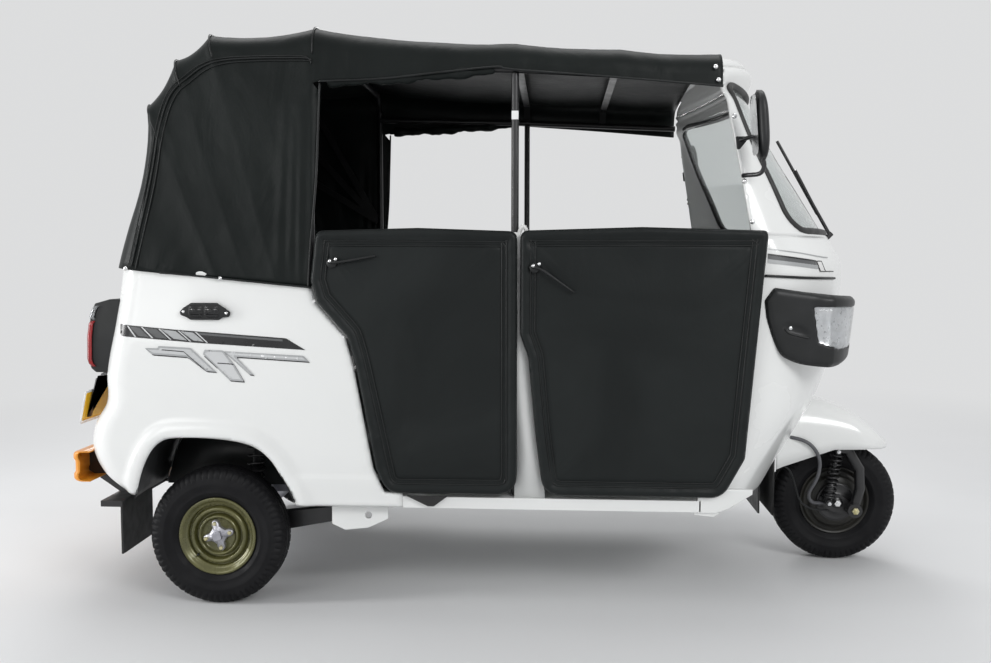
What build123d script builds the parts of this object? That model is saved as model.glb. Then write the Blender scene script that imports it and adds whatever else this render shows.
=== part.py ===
from build123d import *
from math import atan2, cos, degrees, hypot, radians, sin, sqrt, tan
import os

# Three-wheeled passenger auto rickshaw with a folding soft top and soft half doors.
# Frame: +X forward, +Y to the vehicle's left, +Z up. The origin is on the ground, below
# the middle of the length between the rear bumper and the front tyre. Millimetres.

# ---------------------------------------------------------------- driving dimensions
WHEELBASE = 1985.0
REAR_AXLE_X = -869.5
REAR_TRACK = 1150.0
TYRE_DIAMETER = 415.0
TYRE_WIDTH = 108.0
RIM_FLANGE_DIAMETER = 236.0
BEAD_SEAT_DIAMETER = 207.0
FLOOR_TOP = 345.0
SILL_BOTTOM = 312.0
SHEET = 8.0              # pressed body panels with their folded stiffeners
DOOR_THICKNESS = 24.0
DOOR_OUTER_Y = 662.0
DOOR_TOP = 1130.0
DOOR_BOTTOM = 357.0
CANOPY_CLOTH = 6.0
BOW_DIAMETER = 22.0
STEERING_RAKE = 22.0     # degrees from the vertical
STEERING_TRAIL = 95.0
STEERING_LOCK = 40.0
PLAY = 0.3               # clearance between faces of neighbouring pieces
RUNNING_GAP = 8.0        # clearance of a door from what it closes against
HINGE_FIT = 0.1          # radial clearance of a hinge pin in its eye

FRONT_AXLE_X = REAR_AXLE_X + WHEELBASE
AXLE_Z = TYRE_DIAMETER / 2
WHEEL_Y = REAR_TRACK / 2
DOOR_INNER_Y = DOOR_OUTER_Y - DOOR_THICKNESS
DOOR_MID_Y = DOOR_OUTER_Y - DOOR_THICKNESS / 2
SIDES = (("left", 1), ("right", -1))

os.makedirs("parts", exist_ok=True)


def write_node(part, name):
    part.label = name
    export_step(part, "parts/" + name + ".step")


def side_plane(y):
    """Sketch plane whose local axes are X (forward) and Z (up), at the given y."""
    return Plane(origin=(0, y, 0), x_dir=(1, 0, 0), z_dir=(0, -1, 0))


def front_plane(x):
    """Sketch plane whose local axes are Y (left) and Z (up), at the given x."""
    return Plane(origin=(x, 0, 0), x_dir=(0, 1, 0), z_dir=(1, 0, 0))


def side_slab(points, y_low, y_high, corner=0.0, rounded=()):
    """A flat solid between two values of y whose side outline is the closed polygon."""
    with BuildPart() as slab:
        with BuildSketch(side_plane(y_high)) as outline:
            with BuildLine():
                Polyline(*points, close=True)
            make_face()
            if corner:
                chosen = [
                    v
                    for v in outline.vertices()
                    if any(hypot(v.X - points[i][0], v.Z - points[i][1]) < 1 for i in rounded)
                ]
                fillet(chosen, corner)
        extrude(amount=y_high - y_low)
    return slab.part


def tube_run(points, radius):
    """A round tube through the points, mitred where it turns."""
    with BuildPart() as tube:
        with BuildLine() as path:
            Polyline(*points)
        with BuildSketch(Plane(origin=path.line @ 0, z_dir=path.line % 0)):
            Circle(radius)
        sweep(transition=Transition.RIGHT)
    return tube.part


# ---------------------------------------------------------------- front shell surface
# Horizontal sections of the nose and the windscreen frame above it.
# z: height; tip: x of the nose on the centre line; half: half width at the sides;
# front_r: radius of the front curve; corner_r: radius where it turns into the side
NOSE_SECTIONS = (
    # z,     tip,    half,  front_r, corner_r
    (314.0, 850.0, 626.0, 1000.0, 200.0),
    (402.0, 897.0, 628.0, 1000.0, 200.0),
    (600.0, 1013.0, 626.0, 1000.0, 205.0),
    (705.0, 1054.0, 624.0, 900.0, 210.0),
    (925.0, 1092.0, 618.0, 850.0, 215.0),
    (1050.0, 1086.0, 614.0, 850.0, 215.0),
    (1112.0, 1050.0, 610.0, 850.0, 210.0),
)
SCREEN_SECTIONS = (
    (1112.0, 1050.0, 610.0, 850.0, 210.0),
    (1382.0, 877.0, 584.0, 950.0, 130.0),
    (1592.0, 773.0, 565.0, 1000.0, 100.0),
    (1602.0, 790.0, 565.0, 1000.0, 100.0),
    (1648.0, 790.0, 560.0, 1000.0, 100.0),
)
NOSE_REAR_X = 430.0
COWL_TOP = NOSE_SECTIONS[-1][0]


def nose_outline(tip, half, front_r, corner_r, rear_x):
    """Plan outline: a front arc, a tighter arc at each corner and straight sides."""
    front_c = tip - front_r
    corner_y = half - corner_r
    corner_c = front_c + sqrt((front_r - corner_r) ** 2 - corner_y ** 2)
    turn = atan2(corner_y, corner_c - front_c)
    meet = (front_c + front_r * cos(turn), front_r * sin(turn))
    mid = (corner_c + corner_r * cos((turn + radians(90)) / 2),
           corner_y + corner_r * sin((turn + radians(90)) / 2))
    return [
        (rear_x, half), (corner_c, half), mid, meet, (tip, 0.0),
    ]


def nose_solid(sections, inset, rear_x):
    """The solid inside the front shell's surface, moved inward by inset."""
    with BuildPart() as shell:
        for z, tip, half, front_r, corner_r in sections:
            rear, bend, mid, meet, nose = nose_outline(
                tip - inset, half - inset, front_r - inset, corner_r - inset, rear_x)
            with BuildSketch(Plane.XY.offset(z)):
                with BuildLine():
                    Line((rear[0], -rear[1]), (bend[0], -bend[1]))
                    ThreePointArc((bend[0], -bend[1]), (mid[0], -mid[1]), (meet[0], -meet[1]))
                    ThreePointArc((meet[0], -meet[1]), nose, meet)
                    ThreePointArc(meet, mid, bend)
                    Line(bend, rear)
                    Line(rear, (rear[0], -rear[1]))
                make_face()
        loft(ruled=True)
    return shell.part


nose_outer = nose_solid(NOSE_SECTIONS, 0.0, NOSE_REAR_X)
nose_inner = nose_solid(NOSE_SECTIONS, SHEET, NOSE_REAR_X - 50)
nose_clear = nose_solid(NOSE_SECTIONS, -PLAY, NOSE_REAR_X)
screen_outer = nose_solid(SCREEN_SECTIONS, 0.0, NOSE_REAR_X)
screen_inner = nose_solid(SCREEN_SECTIONS, SHEET, NOSE_REAR_X - 50)

# ---------------------------------------------------------------- door outlines
HINGE_R = DOOR_THICKNESS / 2
REAR_DOOR_FRONT = 36.0
REAR_DOOR_HINGE_X = REAR_DOOR_FRONT - HINGE_R
FRONT_DOOR_REAR = REAR_DOOR_FRONT + RUNNING_GAP
FRONT_HINGE_TOP = (743.0, 1110.0)      # front door's leading edge, above
FRONT_HINGE_FOOT = (690.0, 472.0)      # and below
REAR_DOOR_EDGE = (                     # free edge, from the top down: x, z
    (-548.0, DOOR_TOP), (-565.0, 980.0), (-547.0, 918.0), (-459.0, 818.0),
    (-435.0, 733.0), (-378.0, 430.0), (-345.0, DOOR_BOTTOM),
)
FRONT_DOOR_EDGE = (
    (FRONT_DOOR_REAR, DOOR_TOP), (FRONT_DOOR_REAR, 826.0), (68.0, 758.0),
    (88.0, 548.0), (112.0, DOOR_BOTTOM),
)
rear_door_outline = REAR_DOOR_EDGE + ((REAR_DOOR_FRONT, DOOR_BOTTOM), (REAR_DOOR_FRONT, DOOR_TOP))
front_door_outline = FRONT_DOOR_EDGE + (
    (628.0, DOOR_BOTTOM), FRONT_HINGE_FOOT, FRONT_HINGE_TOP, (741.0, DOOR_TOP))

# ---------------------------------------------------------------- rear tub surface
# Horizontal sections. z: height; rear: x of the rear face; half: half width
TUB_SECTIONS = (
    # z,     rear,    half
    (332.0, -1156.0, 640.0),
    (385.0, -1219.0, 646.0),
    (437.0, -1250.0, 650.0),
    (548.0, -1250.0, 650.0),
    (606.0, -1216.0, 650.0),
    (694.0, -1212.0, 649.0),
    (857.0, -1181.0, 645.0),
    (945.0, -1170.0, 633.0),
    (1030.0, -1160.0, 629.0),
)
TUB_CORNER_R = 90.0
TUB_FRONT_X = -300.0
ARCH_OUTLINE = ((-1108.0, 290.0), (-1045.0, 515.0), (-740.0, 508.0), (-606.0, 290.0))
ARCH_CORNER_R = 85.0
FLARE_WIDTH = 42.0
FLARE_Y = 664.0


def tub_solid(inset, front_x):
    """The solid inside the rear tub's surface, moved inward by inset."""
    with BuildPart() as tub:
        for z, rear, half in TUB_SECTIONS:
            corner = TUB_CORNER_R - inset
            back = rear + inset
            side = half - inset
            far = corner * (1 - sin(radians(45)))
            with BuildSketch(Plane.XY.offset(z)):
                with BuildLine():
                    Line((front_x, -side), (back + corner, -side))
                    ThreePointArc((back + corner, -side), (back + far, -side + far),
                                  (back, -side + corner))
                    Line((back, -side + corner), (back, side - corner))
                    ThreePointArc((back, side - corner), (back + far, side - far),
                                  (back + corner, side))
                    Line((back + corner, side), (front_x, side))
                    Line((front_x, side), (front_x, -side))
                make_face()
        loft(ruled=True)
    return tub.part


tub_outer = tub_solid(0.0, TUB_FRONT_X)
tub_inner = tub_solid(SHEET, TUB_FRONT_X + 50)
tub_clear = tub_solid(-PLAY, TUB_FRONT_X)
REAR_PANEL_HALF = 440.0
tub_top = TUB_SECTIONS[-1][0]


def arch_solid(grow, y_low, y_high):
    """The wheel arch's opening, made larger by grow, between two values of y."""
    (x0, z0), (x1, z1), (x2, z2), (x3, z3) = ARCH_OUTLINE
    points = ((x0 - grow, z0), (x1 - grow * 0.8, z1 + grow), (x2 + grow * 0.7, z2 + grow),
              (x3 + grow * 1.2, z3))
    return side_slab(points, y_low, y_high, ARCH_CORNER_R + grow * 0.6, (1, 2))


# ---------------------------------------------------------------- body: rear tub panels
panel_edge = [(x - RUNNING_GAP, z) for x, z in REAR_DOOR_EDGE]
panel_foot_x = -300.0
side_cut = (
    [(panel_edge[0][0], tub_top + 60)] + panel_edge[1:-1]
    + [(panel_edge[-1][0] - 4, DOOR_BOTTOM - 6), (panel_foot_x, DOOR_BOTTOM - 6),
       (panel_foot_x, SILL_BOTTOM - 10), (100.0, SILL_BOTTOM - 10), (100.0, tub_top + 60)]
)
sill_strip = ((-640.0, SILL_BOTTOM), (-640.0, 360.0), (panel_foot_x, 350.0), (panel_foot_x, SILL_BOTTOM))
for name, side in SIDES:
    y_in, y_out = sorted((side * REAR_PANEL_HALF, side * 700.0))
    half_space = side_slab(((-1400, 250), (100, 250), (100, 1100), (-1400, 1100)), y_in, y_out)
    opening = side_slab(side_cut, y_in, y_out)
    arch = arch_solid(0.0, y_in, y_out)
    flare = arch_solid(FLARE_WIDTH, *sorted((side * 636.0, side * FLARE_Y)))
    strip = side_slab(sill_strip, *sorted((side * 631.0, side * 641.0)))
    with BuildPart() as rear_side:
        add(tub_outer)
        add(tub_inner, mode=Mode.SUBTRACT)
        add(half_space, mode=Mode.INTERSECT)
        add(flare)
        add(strip)
        add(arch, mode=Mode.SUBTRACT)
        add(opening, mode=Mode.SUBTRACT)
        with Locations((0, 0, 200)):
            Box(3000, 1500, 2 * (SILL_BOTTOM - 200), mode=Mode.SUBTRACT)
    write_node(rear_side.part, "rear_side_" + name)

LID_HALF = 288.0
LID_LOW = 560.0
LID_HIGH = 960.0
LID_GAP = 5.0
rear_zone = side_slab(((-1400, 250), (-1100, 250), (-1100, 1100), (-1400, 1100)),
                      -REAR_PANEL_HALF, REAR_PANEL_HALF)
lid_zone = side_slab(((-1400, LID_LOW), (-1100, LID_LOW), (-1100, LID_HIGH), (-1400, LID_HIGH)),
                     -LID_HALF, LID_HALF)
lid_hole = side_slab(
    ((-1400, LID_LOW - LID_GAP), (-1100, LID_LOW - LID_GAP), (-1100, LID_HIGH + LID_GAP),
     (-1400, LID_HIGH + LID_GAP)), -LID_HALF - LID_GAP, LID_HALF + LID_GAP)

# butt hinges on the lid's upper edge: the pin and outer knuckles are the panel's
LID_AXIS_X = -1174.0
LID_AXIS_Z = 962.0
LID_HINGE_YS = (-190.0, 190.0)
KNUCKLE_R = 5.5
KNUCKLE = 24.0           # length of the middle knuckle; the outer two are half as long
LID_PIN_R = 2.5
lid_leaf = ((LID_AXIS_X + 8, LID_AXIS_Z - 4), (LID_AXIS_X + 3.5, LID_AXIS_Z - 37),
            (LID_AXIS_X - 1.5, LID_AXIS_Z - 37), (LID_AXIS_X - 2, LID_AXIS_Z))
panel_leaf = ((LID_AXIS_X + 8.5, LID_AXIS_Z + 5), (LID_AXIS_X + 12, LID_AXIS_Z + 33),
              (LID_AXIS_X + 6.5, LID_AXIS_Z + 33), (LID_AXIS_X - 2, LID_AXIS_Z + 10), (LID_AXIS_X - 2, LID_AXIS_Z))


def knuckle(leaf, y_low, y_high):
    """One knuckle of a lid hinge with the part of the leaf that it is rolled from."""
    with BuildPart() as rolled:
        add(side_slab(leaf, y_low, y_high))
        with BuildSketch(side_plane(y_high)):
            with Locations((LID_AXIS_X, LID_AXIS_Z)):
                Circle(KNUCKLE_R)
        extrude(amount=y_high - y_low)
    return rolled.part


def lid_pin(y, radius):
    """The hinge pin about y, long enough for all three knuckles."""
    with BuildPart() as pin:
        with BuildSketch(side_plane(y + KNUCKLE)):
            with Locations((LID_AXIS_X, LID_AXIS_Z)):
                Circle(radius)
        extrude(amount=2 * KNUCKLE)
    return pin.part


with BuildPart() as rear_panel:
    add(tub_outer)
    add(tub_inner, mode=Mode.SUBTRACT)
    add(rear_zone, mode=Mode.INTERSECT)
    add(lid_hole, mode=Mode.SUBTRACT)
    for y in LID_HINGE_YS:
        add(knuckle(panel_leaf, y - KNUCKLE, y - KNUCKLE / 2 - PLAY))
        add(knuckle(panel_leaf, y + KNUCKLE / 2 + PLAY, y + KNUCKLE))
        add(lid_pin(y, LID_PIN_R))
write_node(rear_panel.part, "rear_panel")

with BuildPart() as engine_lid:
    add(tub_outer)
    add(tub_inner, mode=Mode.SUBTRACT)
    add(lid_zone, mode=Mode.INTERSECT)
    for y in LID_HINGE_YS:
        add(knuckle(lid_leaf, y - KNUCKLE / 2, y + KNUCKLE / 2))
        add(lid_pin(y, LID_PIN_R + HINGE_FIT), mode=Mode.SUBTRACT)
write_node(engine_lid.part, "engine_lid")

# ---------------------------------------------------------------- steering axis and backbone
rake = radians(STEERING_RAKE)


def column_point(z, y=0.0):
    """The point of the steering axis at a height, moved sideways by y."""
    return Vector(FRONT_AXLE_X + STEERING_TRAIL - z * tan(rake), y, z)


column_dir = Vector(-sin(rake), 0, cos(rake))
COLUMN_R = 20.0
HEAD_TUBE_R = 29.0
HEAD_LOW = 520.0
HEAD_HIGH = 880.0
FLOOR_SHEET = 6.0
RAIL_HEIGHT = 46.0
rail_z = FLOOR_TOP - FLOOR_SHEET - RAIL_HEIGHT / 2
BACKBONE_R = 26.0
BACKBONE_REAR = Vector(560, 0, rail_z)
BACKBONE_Z = 600.0


def backbone(grow):
    """The sloping tube under the driver's feet and the steering head, made larger by grow."""
    run = column_point(BACKBONE_Z) - BACKBONE_REAR
    with BuildPart() as tube:
        with BuildSketch(Plane(origin=BACKBONE_REAR, z_dir=run)):
            Circle(BACKBONE_R + grow)
        extrude(amount=run.length)
        with BuildSketch(Plane(origin=column_point(HEAD_LOW) - column_dir * grow, z_dir=column_dir)):
            Circle(HEAD_TUBE_R + grow)
        extrude(amount=(HEAD_HIGH - HEAD_LOW) / cos(rake) + 2 * grow)
    return tube.part


# ---------------------------------------------------------------- body: nose and screen
DOOR_JAMB = 52.0         # how far the nose runs on behind the front door's leading edge
jamb = ((628.0 - DOOR_JAMB, 250.0), (628.0 - DOOR_JAMB, DOOR_BOTTOM),
        (FRONT_HINGE_FOOT[0] - DOOR_JAMB, FRONT_HINGE_FOOT[1]),
        (FRONT_HINGE_TOP[0] - DOOR_JAMB, COWL_TOP), (1400.0, COWL_TOP), (1400.0, 250.0))
with BuildPart() as front_cowl:
    add(nose_outer)
    add(nose_inner, mode=Mode.SUBTRACT)
    add(side_slab(jamb, -700, 700), mode=Mode.INTERSECT)
    add(backbone(2.0), mode=Mode.SUBTRACT)
write_node(front_cowl.part, "front_cowl")

# screen opening in the front view: half widths at its foot and top, and its heights
SCREEN_LOW = 1128.0
SCREEN_HIGH = 1496.0
SCREEN_HALF_LOW = 545.0
SCREEN_HALF_HIGH = 512.0
SCREEN_CORNER = 80.0
SEAL_WIDTH = 20.0


def screen_prism(grow):
    """A prism along X with the windscreen opening's outline, made larger by grow."""
    with BuildPart() as prism:
        with BuildSketch(front_plane(500)) as outline:
            with BuildLine():
                Polyline((-SCREEN_HALF_LOW - grow, SCREEN_LOW - grow),
                         (SCREEN_HALF_LOW + grow, SCREEN_LOW - grow),
                         (SCREEN_HALF_HIGH + grow, SCREEN_HIGH + grow),
                         (-SCREEN_HALF_HIGH - grow, SCREEN_HIGH + grow), close=True)
            make_face()
            fillet(outline.vertices(), SCREEN_CORNER + grow)
        extrude(amount=900)
    return prism.part


PILLAR_TOP_X = 618.0
PILLAR_FOOT_X = 705.0
pillar_region = ((PILLAR_FOOT_X - 14, COWL_TOP), (PILLAR_TOP_X, 1540.0), (PILLAR_TOP_X, 1700.0),
                 (1400.0, 1700.0), (1400.0, COWL_TOP))
HEADER_Z = SCREEN_SECTIONS[-1][0]
with BuildPart() as header:
    add(screen_outer)
    add(side_slab(((PILLAR_TOP_X, HEADER_Z - SHEET), (PILLAR_TOP_X, HEADER_Z),
                   (1400.0, HEADER_Z), (1400.0, HEADER_Z - SHEET)), -700, 700), mode=Mode.INTERSECT)
header_top = header.part
with BuildPart() as windscreen_frame:
    add(screen_outer)
    add(screen_inner, mode=Mode.SUBTRACT)
    add(side_slab(pillar_region, -700, 700), mode=Mode.INTERSECT)
    add(screen_prism(0.0), mode=Mode.SUBTRACT)
    add(header_top)
write_node(windscreen_frame.part, "windscreen_frame")

GLASS = 5.0
with BuildPart() as windscreen_glass:
    add(nose_solid(SCREEN_SECTIONS, 2.0, NOSE_REAR_X))
    add(nose_solid(SCREEN_SECTIONS, 2.0 + GLASS, NOSE_REAR_X - 50), mode=Mode.SUBTRACT)
    add(screen_prism(-SEAL_WIDTH), mode=Mode.INTERSECT)
write_node(windscreen_glass.part, "windscreen_glass")

with BuildPart() as windscreen_seal:
    add(nose_solid(SCREEN_SECTIONS, -3.0, NOSE_REAR_X))
    add(nose_solid(SCREEN_SECTIONS, SHEET + 3.0, NOSE_REAR_X - 50), mode=Mode.SUBTRACT)
    add(screen_prism(-PLAY), mode=Mode.INTERSECT)
    add(screen_prism(-SEAL_WIDTH + PLAY), mode=Mode.SUBTRACT)
write_node(windscreen_seal.part, "windscreen_seal")

# ---------------------------------------------------------------- floor and chassis
FLOOR_REAR = -560.0
SILL_Y = 640.0
RAIL_Y = 250.0
RAIL_WIDTH = 50.0
floor_edge = ((FLOOR_REAR, 630.0), (panel_foot_x + PLAY, 630.0), (panel_foot_x + PLAY, SILL_Y),
              (568.0, SILL_Y), (568.0, 612.0), (640.0, 590.0), (700.0, 470.0), (735.0, 300.0))
with BuildPart() as floor_pan:
    with BuildSketch(Plane.XY.offset(FLOOR_TOP - FLOOR_SHEET)):
        with BuildLine():
            Polyline(*[(x, -y) for x, y in floor_edge], *floor_edge[::-1], close=True)
        make_face()
    extrude(amount=FLOOR_SHEET)
    for name, side in SIDES:
        with Locations(((panel_foot_x + PLAY + 568) / 2, side * (SILL_Y - FLOOR_SHEET / 2),
                        (FLOOR_TOP + SILL_BOTTOM) / 2)):
            Box(568 - panel_foot_x - PLAY, FLOOR_SHEET, FLOOR_TOP - SILL_BOTTOM)
    add(backbone(PLAY), mode=Mode.SUBTRACT)
write_node(floor_pan.part, "floor_pan")

PIVOT_X = -500.0
PIVOT_Z = 258.0
ARM_Y = WHEEL_Y - 87
PIVOT_HALF = 64.0
BEAM_X = -775.0
BEAM_Z = 566.0
RAIL_REAR = -1135.0
OUTRIGGER_Y = ARM_Y + PIVOT_HALF + 38
DAMPER_Y = ARM_Y - 12
CROSS_XS = (-1115.0, -590.0, -60.0, 420.0)
with BuildPart() as chassis_frame:
    for name, side in SIDES:
        with Locations(((RAIL_REAR + 585) / 2, side * RAIL_Y, rail_z)):
            Box(585 - RAIL_REAR, RAIL_WIDTH, RAIL_HEIGHT)
    for x in CROSS_XS:
        with Locations((x, 0, rail_z)):
            Box(40, 2 * RAIL_Y, RAIL_HEIGHT)
    with Locations((PIVOT_X, 0, rail_z)):
        Box(46, 2 * OUTRIGGER_Y, RAIL_HEIGHT)
    for name, side in SIDES:
        for y in (ARM_Y - PIVOT_HALF - 4, ARM_Y + PIVOT_HALF + 4):
            with Locations((PIVOT_X, side * y, PIVOT_Z + 14)):
                Box(60, 8, 72)
        with Locations((-870, side * (170 + PLAY + (RAIL_Y - 170) / 2 - 5), 316)):
            Box(120, RAIL_Y - 180, 30)
        with Locations((BEAM_X, side * RAIL_Y, (BEAM_Z + rail_z) / 2)):
            Box(36, 36, BEAM_Z - rail_z)
    with Locations((BEAM_X, 0, BEAM_Z + 16)):
        Box(50, 2 * (DAMPER_Y + 30), 32)
    add(backbone(0.0))
    with Locations((560, 0, rail_z)):
        Box(60, 2 * RAIL_Y, RAIL_HEIGHT)
    with BuildSketch(Plane(origin=column_point(HEAD_LOW - 60), z_dir=column_dir)):
        Circle(COLUMN_R + 2 * PLAY)
    extrude(amount=(HEAD_HIGH - HEAD_LOW + 120) / cos(rake), mode=Mode.SUBTRACT)
write_node(chassis_frame.part, "chassis_frame")

# jack and towing bracket under each sill, ahead of the rear wheel
with BuildPart() as sill_brackets:
    for name, side in SIDES:
        low, high = sorted((side * OUTRIGGER_Y, side * (OUTRIGGER_Y + 14)))
        with BuildSketch(side_plane(high)):
            with BuildLine():
                Polyline((-520, SILL_BOTTOM - 2), (-351, SILL_BOTTOM - 2), (-351, 268), (-410, 240),
                         (-480, 232), (-520, 250), close=True)
            make_face()
            with Locations((-410, 278)):
                Circle(11, mode=Mode.SUBTRACT)
        extrude(amount=high - low)
write_node(sill_brackets.part, "sill_brackets")

# ---------------------------------------------------------------- rear suspension and engine
HUB_BORE = 15.0
HUB_INNER_Y = WHEEL_Y - 60.0
with BuildPart() as trailing_arms:
    for name, side in SIDES:
        with BuildSketch(side_plane(side * ARM_Y + 15)):
            with BuildLine():
                Polyline((PIVOT_X - 20, PIVOT_Z - 24), (PIVOT_X + 22, PIVOT_Z - 6),
                         (PIVOT_X + 10, PIVOT_Z + 22), (REAR_AXLE_X + 20, AXLE_Z + 34),
                         (REAR_AXLE_X - 30, AXLE_Z + 20), (REAR_AXLE_X - 30, AXLE_Z - 30),
                         (REAR_AXLE_X + 30, AXLE_Z - 34), close=True)
            make_face()
        extrude(amount=30)
        with BuildSketch(side_plane(side * ARM_Y + PIVOT_HALF - PLAY)):
            with Locations((PIVOT_X, PIVOT_Z)):
                Circle(20)
        extrude(amount=2 * (PIVOT_HALF - PLAY))
        low, high = sorted((side * (ARM_Y + 14), side * (WHEEL_Y + 20)))
        with BuildSketch(side_plane(high)):
            with Locations((REAR_AXLE_X, AXLE_Z)):
                Circle(HUB_BORE - PLAY)
        extrude(amount=high - low)
write_node(trailing_arms.part, "trailing_arms")

DAMPER_LOW = Vector(-800, 0, 254.0)
DAMPER_HIGH = Vector(BEAM_X, 0, BEAM_Z - 3)
with BuildPart() as rear_dampers:
    for name, side in SIDES:
        foot = DAMPER_LOW + Vector(0, side * DAMPER_Y, 0)
        head = DAMPER_HIGH + Vector(0, side * DAMPER_Y, 0)
        with BuildSketch(Plane(origin=foot, z_dir=head - foot)):
            Circle(30)
        extrude(amount=(head - foot).length)
write_node(rear_dampers.part, "rear_dampers")

with BuildPart() as engine:
    with Locations((-870, 0, 400)):
        Box(360, 340, 320)
    with Locations((-870, 0, 232)):
        Cylinder(60, 380, rotation=(90, 0, 0))
write_node(engine.part, "engine")

BOOT = 60.0
BOOT_Y = 430.0
with BuildPart() as drive_shafts:
    for name, side in SIDES:
        low, high = sorted((side * (190 + PLAY), side * (ARM_Y - 15 - PLAY)))
        with BuildSketch(side_plane(high)):
            with Locations((REAR_AXLE_X, AXLE_Z)):
                Circle(16)
        extrude(amount=high - low)
        with BuildSketch(side_plane(side * BOOT_Y + BOOT / 2)):
            with Locations((REAR_AXLE_X, AXLE_Z)):
                Circle(38)
        extrude(amount=BOOT)
write_node(drive_shafts.part, "drive_shafts")

# ---------------------------------------------------------------- wheels
FLANGE_R = RIM_FLANGE_DIAMETER / 2
SEAT_R = BEAD_SEAT_DIAMETER / 2
OUTER_R = TYRE_DIAMETER / 2
HALF_T = TYRE_WIDTH / 2
FLANGE_IN = 34.0
FLANGE_OUT = 39.0
BARREL_R = SEAT_R - 5
HUB_R = 38.0
DRUM_R = 84.0
DISC_FACE = 6.0
HUB_FACE = 18.0
DRUM_FACE = -52.0
BEAD_HALF = FLANGE_IN - PLAY


def tyre_ring():
    """A tyre about the Y axis at the origin."""
    with BuildPart() as tyre:
        with BuildSketch(Plane(origin=(0, 0, 0), x_dir=(1, 0, 0), z_dir=(0, -1, 0))):
            with BuildLine():
                half = ((SEAT_R + PLAY, BEAD_HALF), (FLANGE_R + 3, BEAD_HALF), (FLANGE_R + 3, HALF_T),
                        (OUTER_R, HALF_T))
                Polyline(*half, *[(r, -y) for r, y in half[::-1]], close=True)
            make_face()
        revolve(axis=Axis.Z)
    return tyre.part


def rim_disc():
    """A pressed rim with its disc, hub and drum about the Z axis, outboard side up."""
    with BuildPart() as rim:
        with BuildSketch(Plane(origin=(0, 0, 0), x_dir=(1, 0, 0), z_dir=(0, -1, 0))):
            with BuildLine():
                Polyline(
                    (FLANGE_R, FLANGE_OUT), (BARREL_R, FLANGE_OUT), (BARREL_R, DISC_FACE),
                    (HUB_R, DISC_FACE), (HUB_R, HUB_FACE), (HUB_BORE, HUB_FACE), (HUB_BORE, DRUM_FACE),
                    (DRUM_R, DRUM_FACE), (DRUM_R, -FLANGE_OUT), (FLANGE_R, -FLANGE_OUT),
                    (FLANGE_R, -FLANGE_IN), (SEAT_R, -FLANGE_IN), (SEAT_R, FLANGE_IN),
                    (FLANGE_R, FLANGE_IN), close=True)
            make_face()
        revolve(axis=Axis.Z)
    return rim.part


tyre_shape = tyre_ring()
rim_shape = rim_disc()
WHEELS = (
    # name, x, y, side its outer face looks to
    ("front", FRONT_AXLE_X, 0.0, 1),
    ("rear_left", REAR_AXLE_X, WHEEL_Y, 1),
    ("rear_right", REAR_AXLE_X, -WHEEL_Y, -1),
)
for name, x, y, side in WHEELS:
    place = Location((x, y, AXLE_Z), (-90 * side, 0, 0))
    write_node(place * tyre_shape, name + "_tyre")
    write_node(place * rim_shape, name + "_rim")

# ---------------------------------------------------------------- steering
FORK_Y = -96.0
FORK_R = 17.0
BAR_Z = 930.0            # top of the steering column
STEM_X = FRONT_AXLE_X + 24.5
LINK_PIVOT = (FRONT_AXLE_X + 49.5, AXLE_Z - 17.5)
LUG_R = 10.0
DAMPER_FOOT = Vector(FRONT_AXLE_X - 37.5, FORK_Y, AXLE_Z + 6.5)
DAMPER_HEAD = Vector(FRONT_AXLE_X - 9.5, FORK_Y, AXLE_Z + 184.5)
fork_path = [column_point(470), Vector(FRONT_AXLE_X - 63.5, -52, 452), Vector(FRONT_AXLE_X - 27.5, FORK_Y, 430),
             Vector(STEM_X, FORK_Y, 395), Vector(STEM_X + 40, FORK_Y, 330), Vector(STEM_X + 44, FORK_Y, 262),
             Vector(LINK_PIVOT[0], FORK_Y, LINK_PIVOT[1])]
with BuildPart() as steering_column:
    with BuildSketch(Plane(origin=column_point(445), z_dir=column_dir)):
        Circle(COLUMN_R)
    extrude(amount=(BAR_Z - 445) / cos(rake))
    add(tube_run(fork_path, FORK_R))
    with BuildSketch(side_plane(FORK_Y + 22)):
        with Locations(LINK_PIVOT):
            Circle(24)
    extrude(amount=44)
    with BuildSketch(side_plane(FORK_Y + 17)):
        with Locations((DAMPER_HEAD.X, DAMPER_HEAD.Z)):
            Circle(LUG_R)
        with Locations(((DAMPER_HEAD.X + STEM_X) / 2, DAMPER_HEAD.Z + 3)):
            Rectangle(STEM_X - DAMPER_HEAD.X, 14)
    extrude(amount=34)
write_node(steering_column.part, "steering_column")

BRAKE_R = 66.0
with BuildPart() as front_swing_arm:
    with BuildSketch(side_plane(-54.5)):
        with Locations((FRONT_AXLE_X, AXLE_Z)):
            Circle(BRAKE_R)
    extrude(amount=8)
    with BuildSketch(side_plane(-60)):
        with BuildLine():
            Polyline((LINK_PIVOT[0] + 18, LINK_PIVOT[1] + 6), (LINK_PIVOT[0], LINK_PIVOT[1] - 20),
                     (FRONT_AXLE_X - 10, AXLE_Z - 34), (FRONT_AXLE_X - 62, AXLE_Z - 4),
                     (FRONT_AXLE_X - 58, AXLE_Z + 20), (FRONT_AXLE_X + 6, AXLE_Z + 30), close=True)
        make_face()
    extrude(amount=13)
    with BuildSketch(side_plane(20)):
        with Locations((FRONT_AXLE_X, AXLE_Z)):
            Circle(HUB_BORE - PLAY)
    extrude(amount=82)
    with BuildSketch(side_plane(-60)):
        with Locations((DAMPER_FOOT.X, DAMPER_FOOT.Z)):
            Circle(LUG_R)
    extrude(amount=54)
write_node(front_swing_arm.part, "front_swing_arm")

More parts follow.
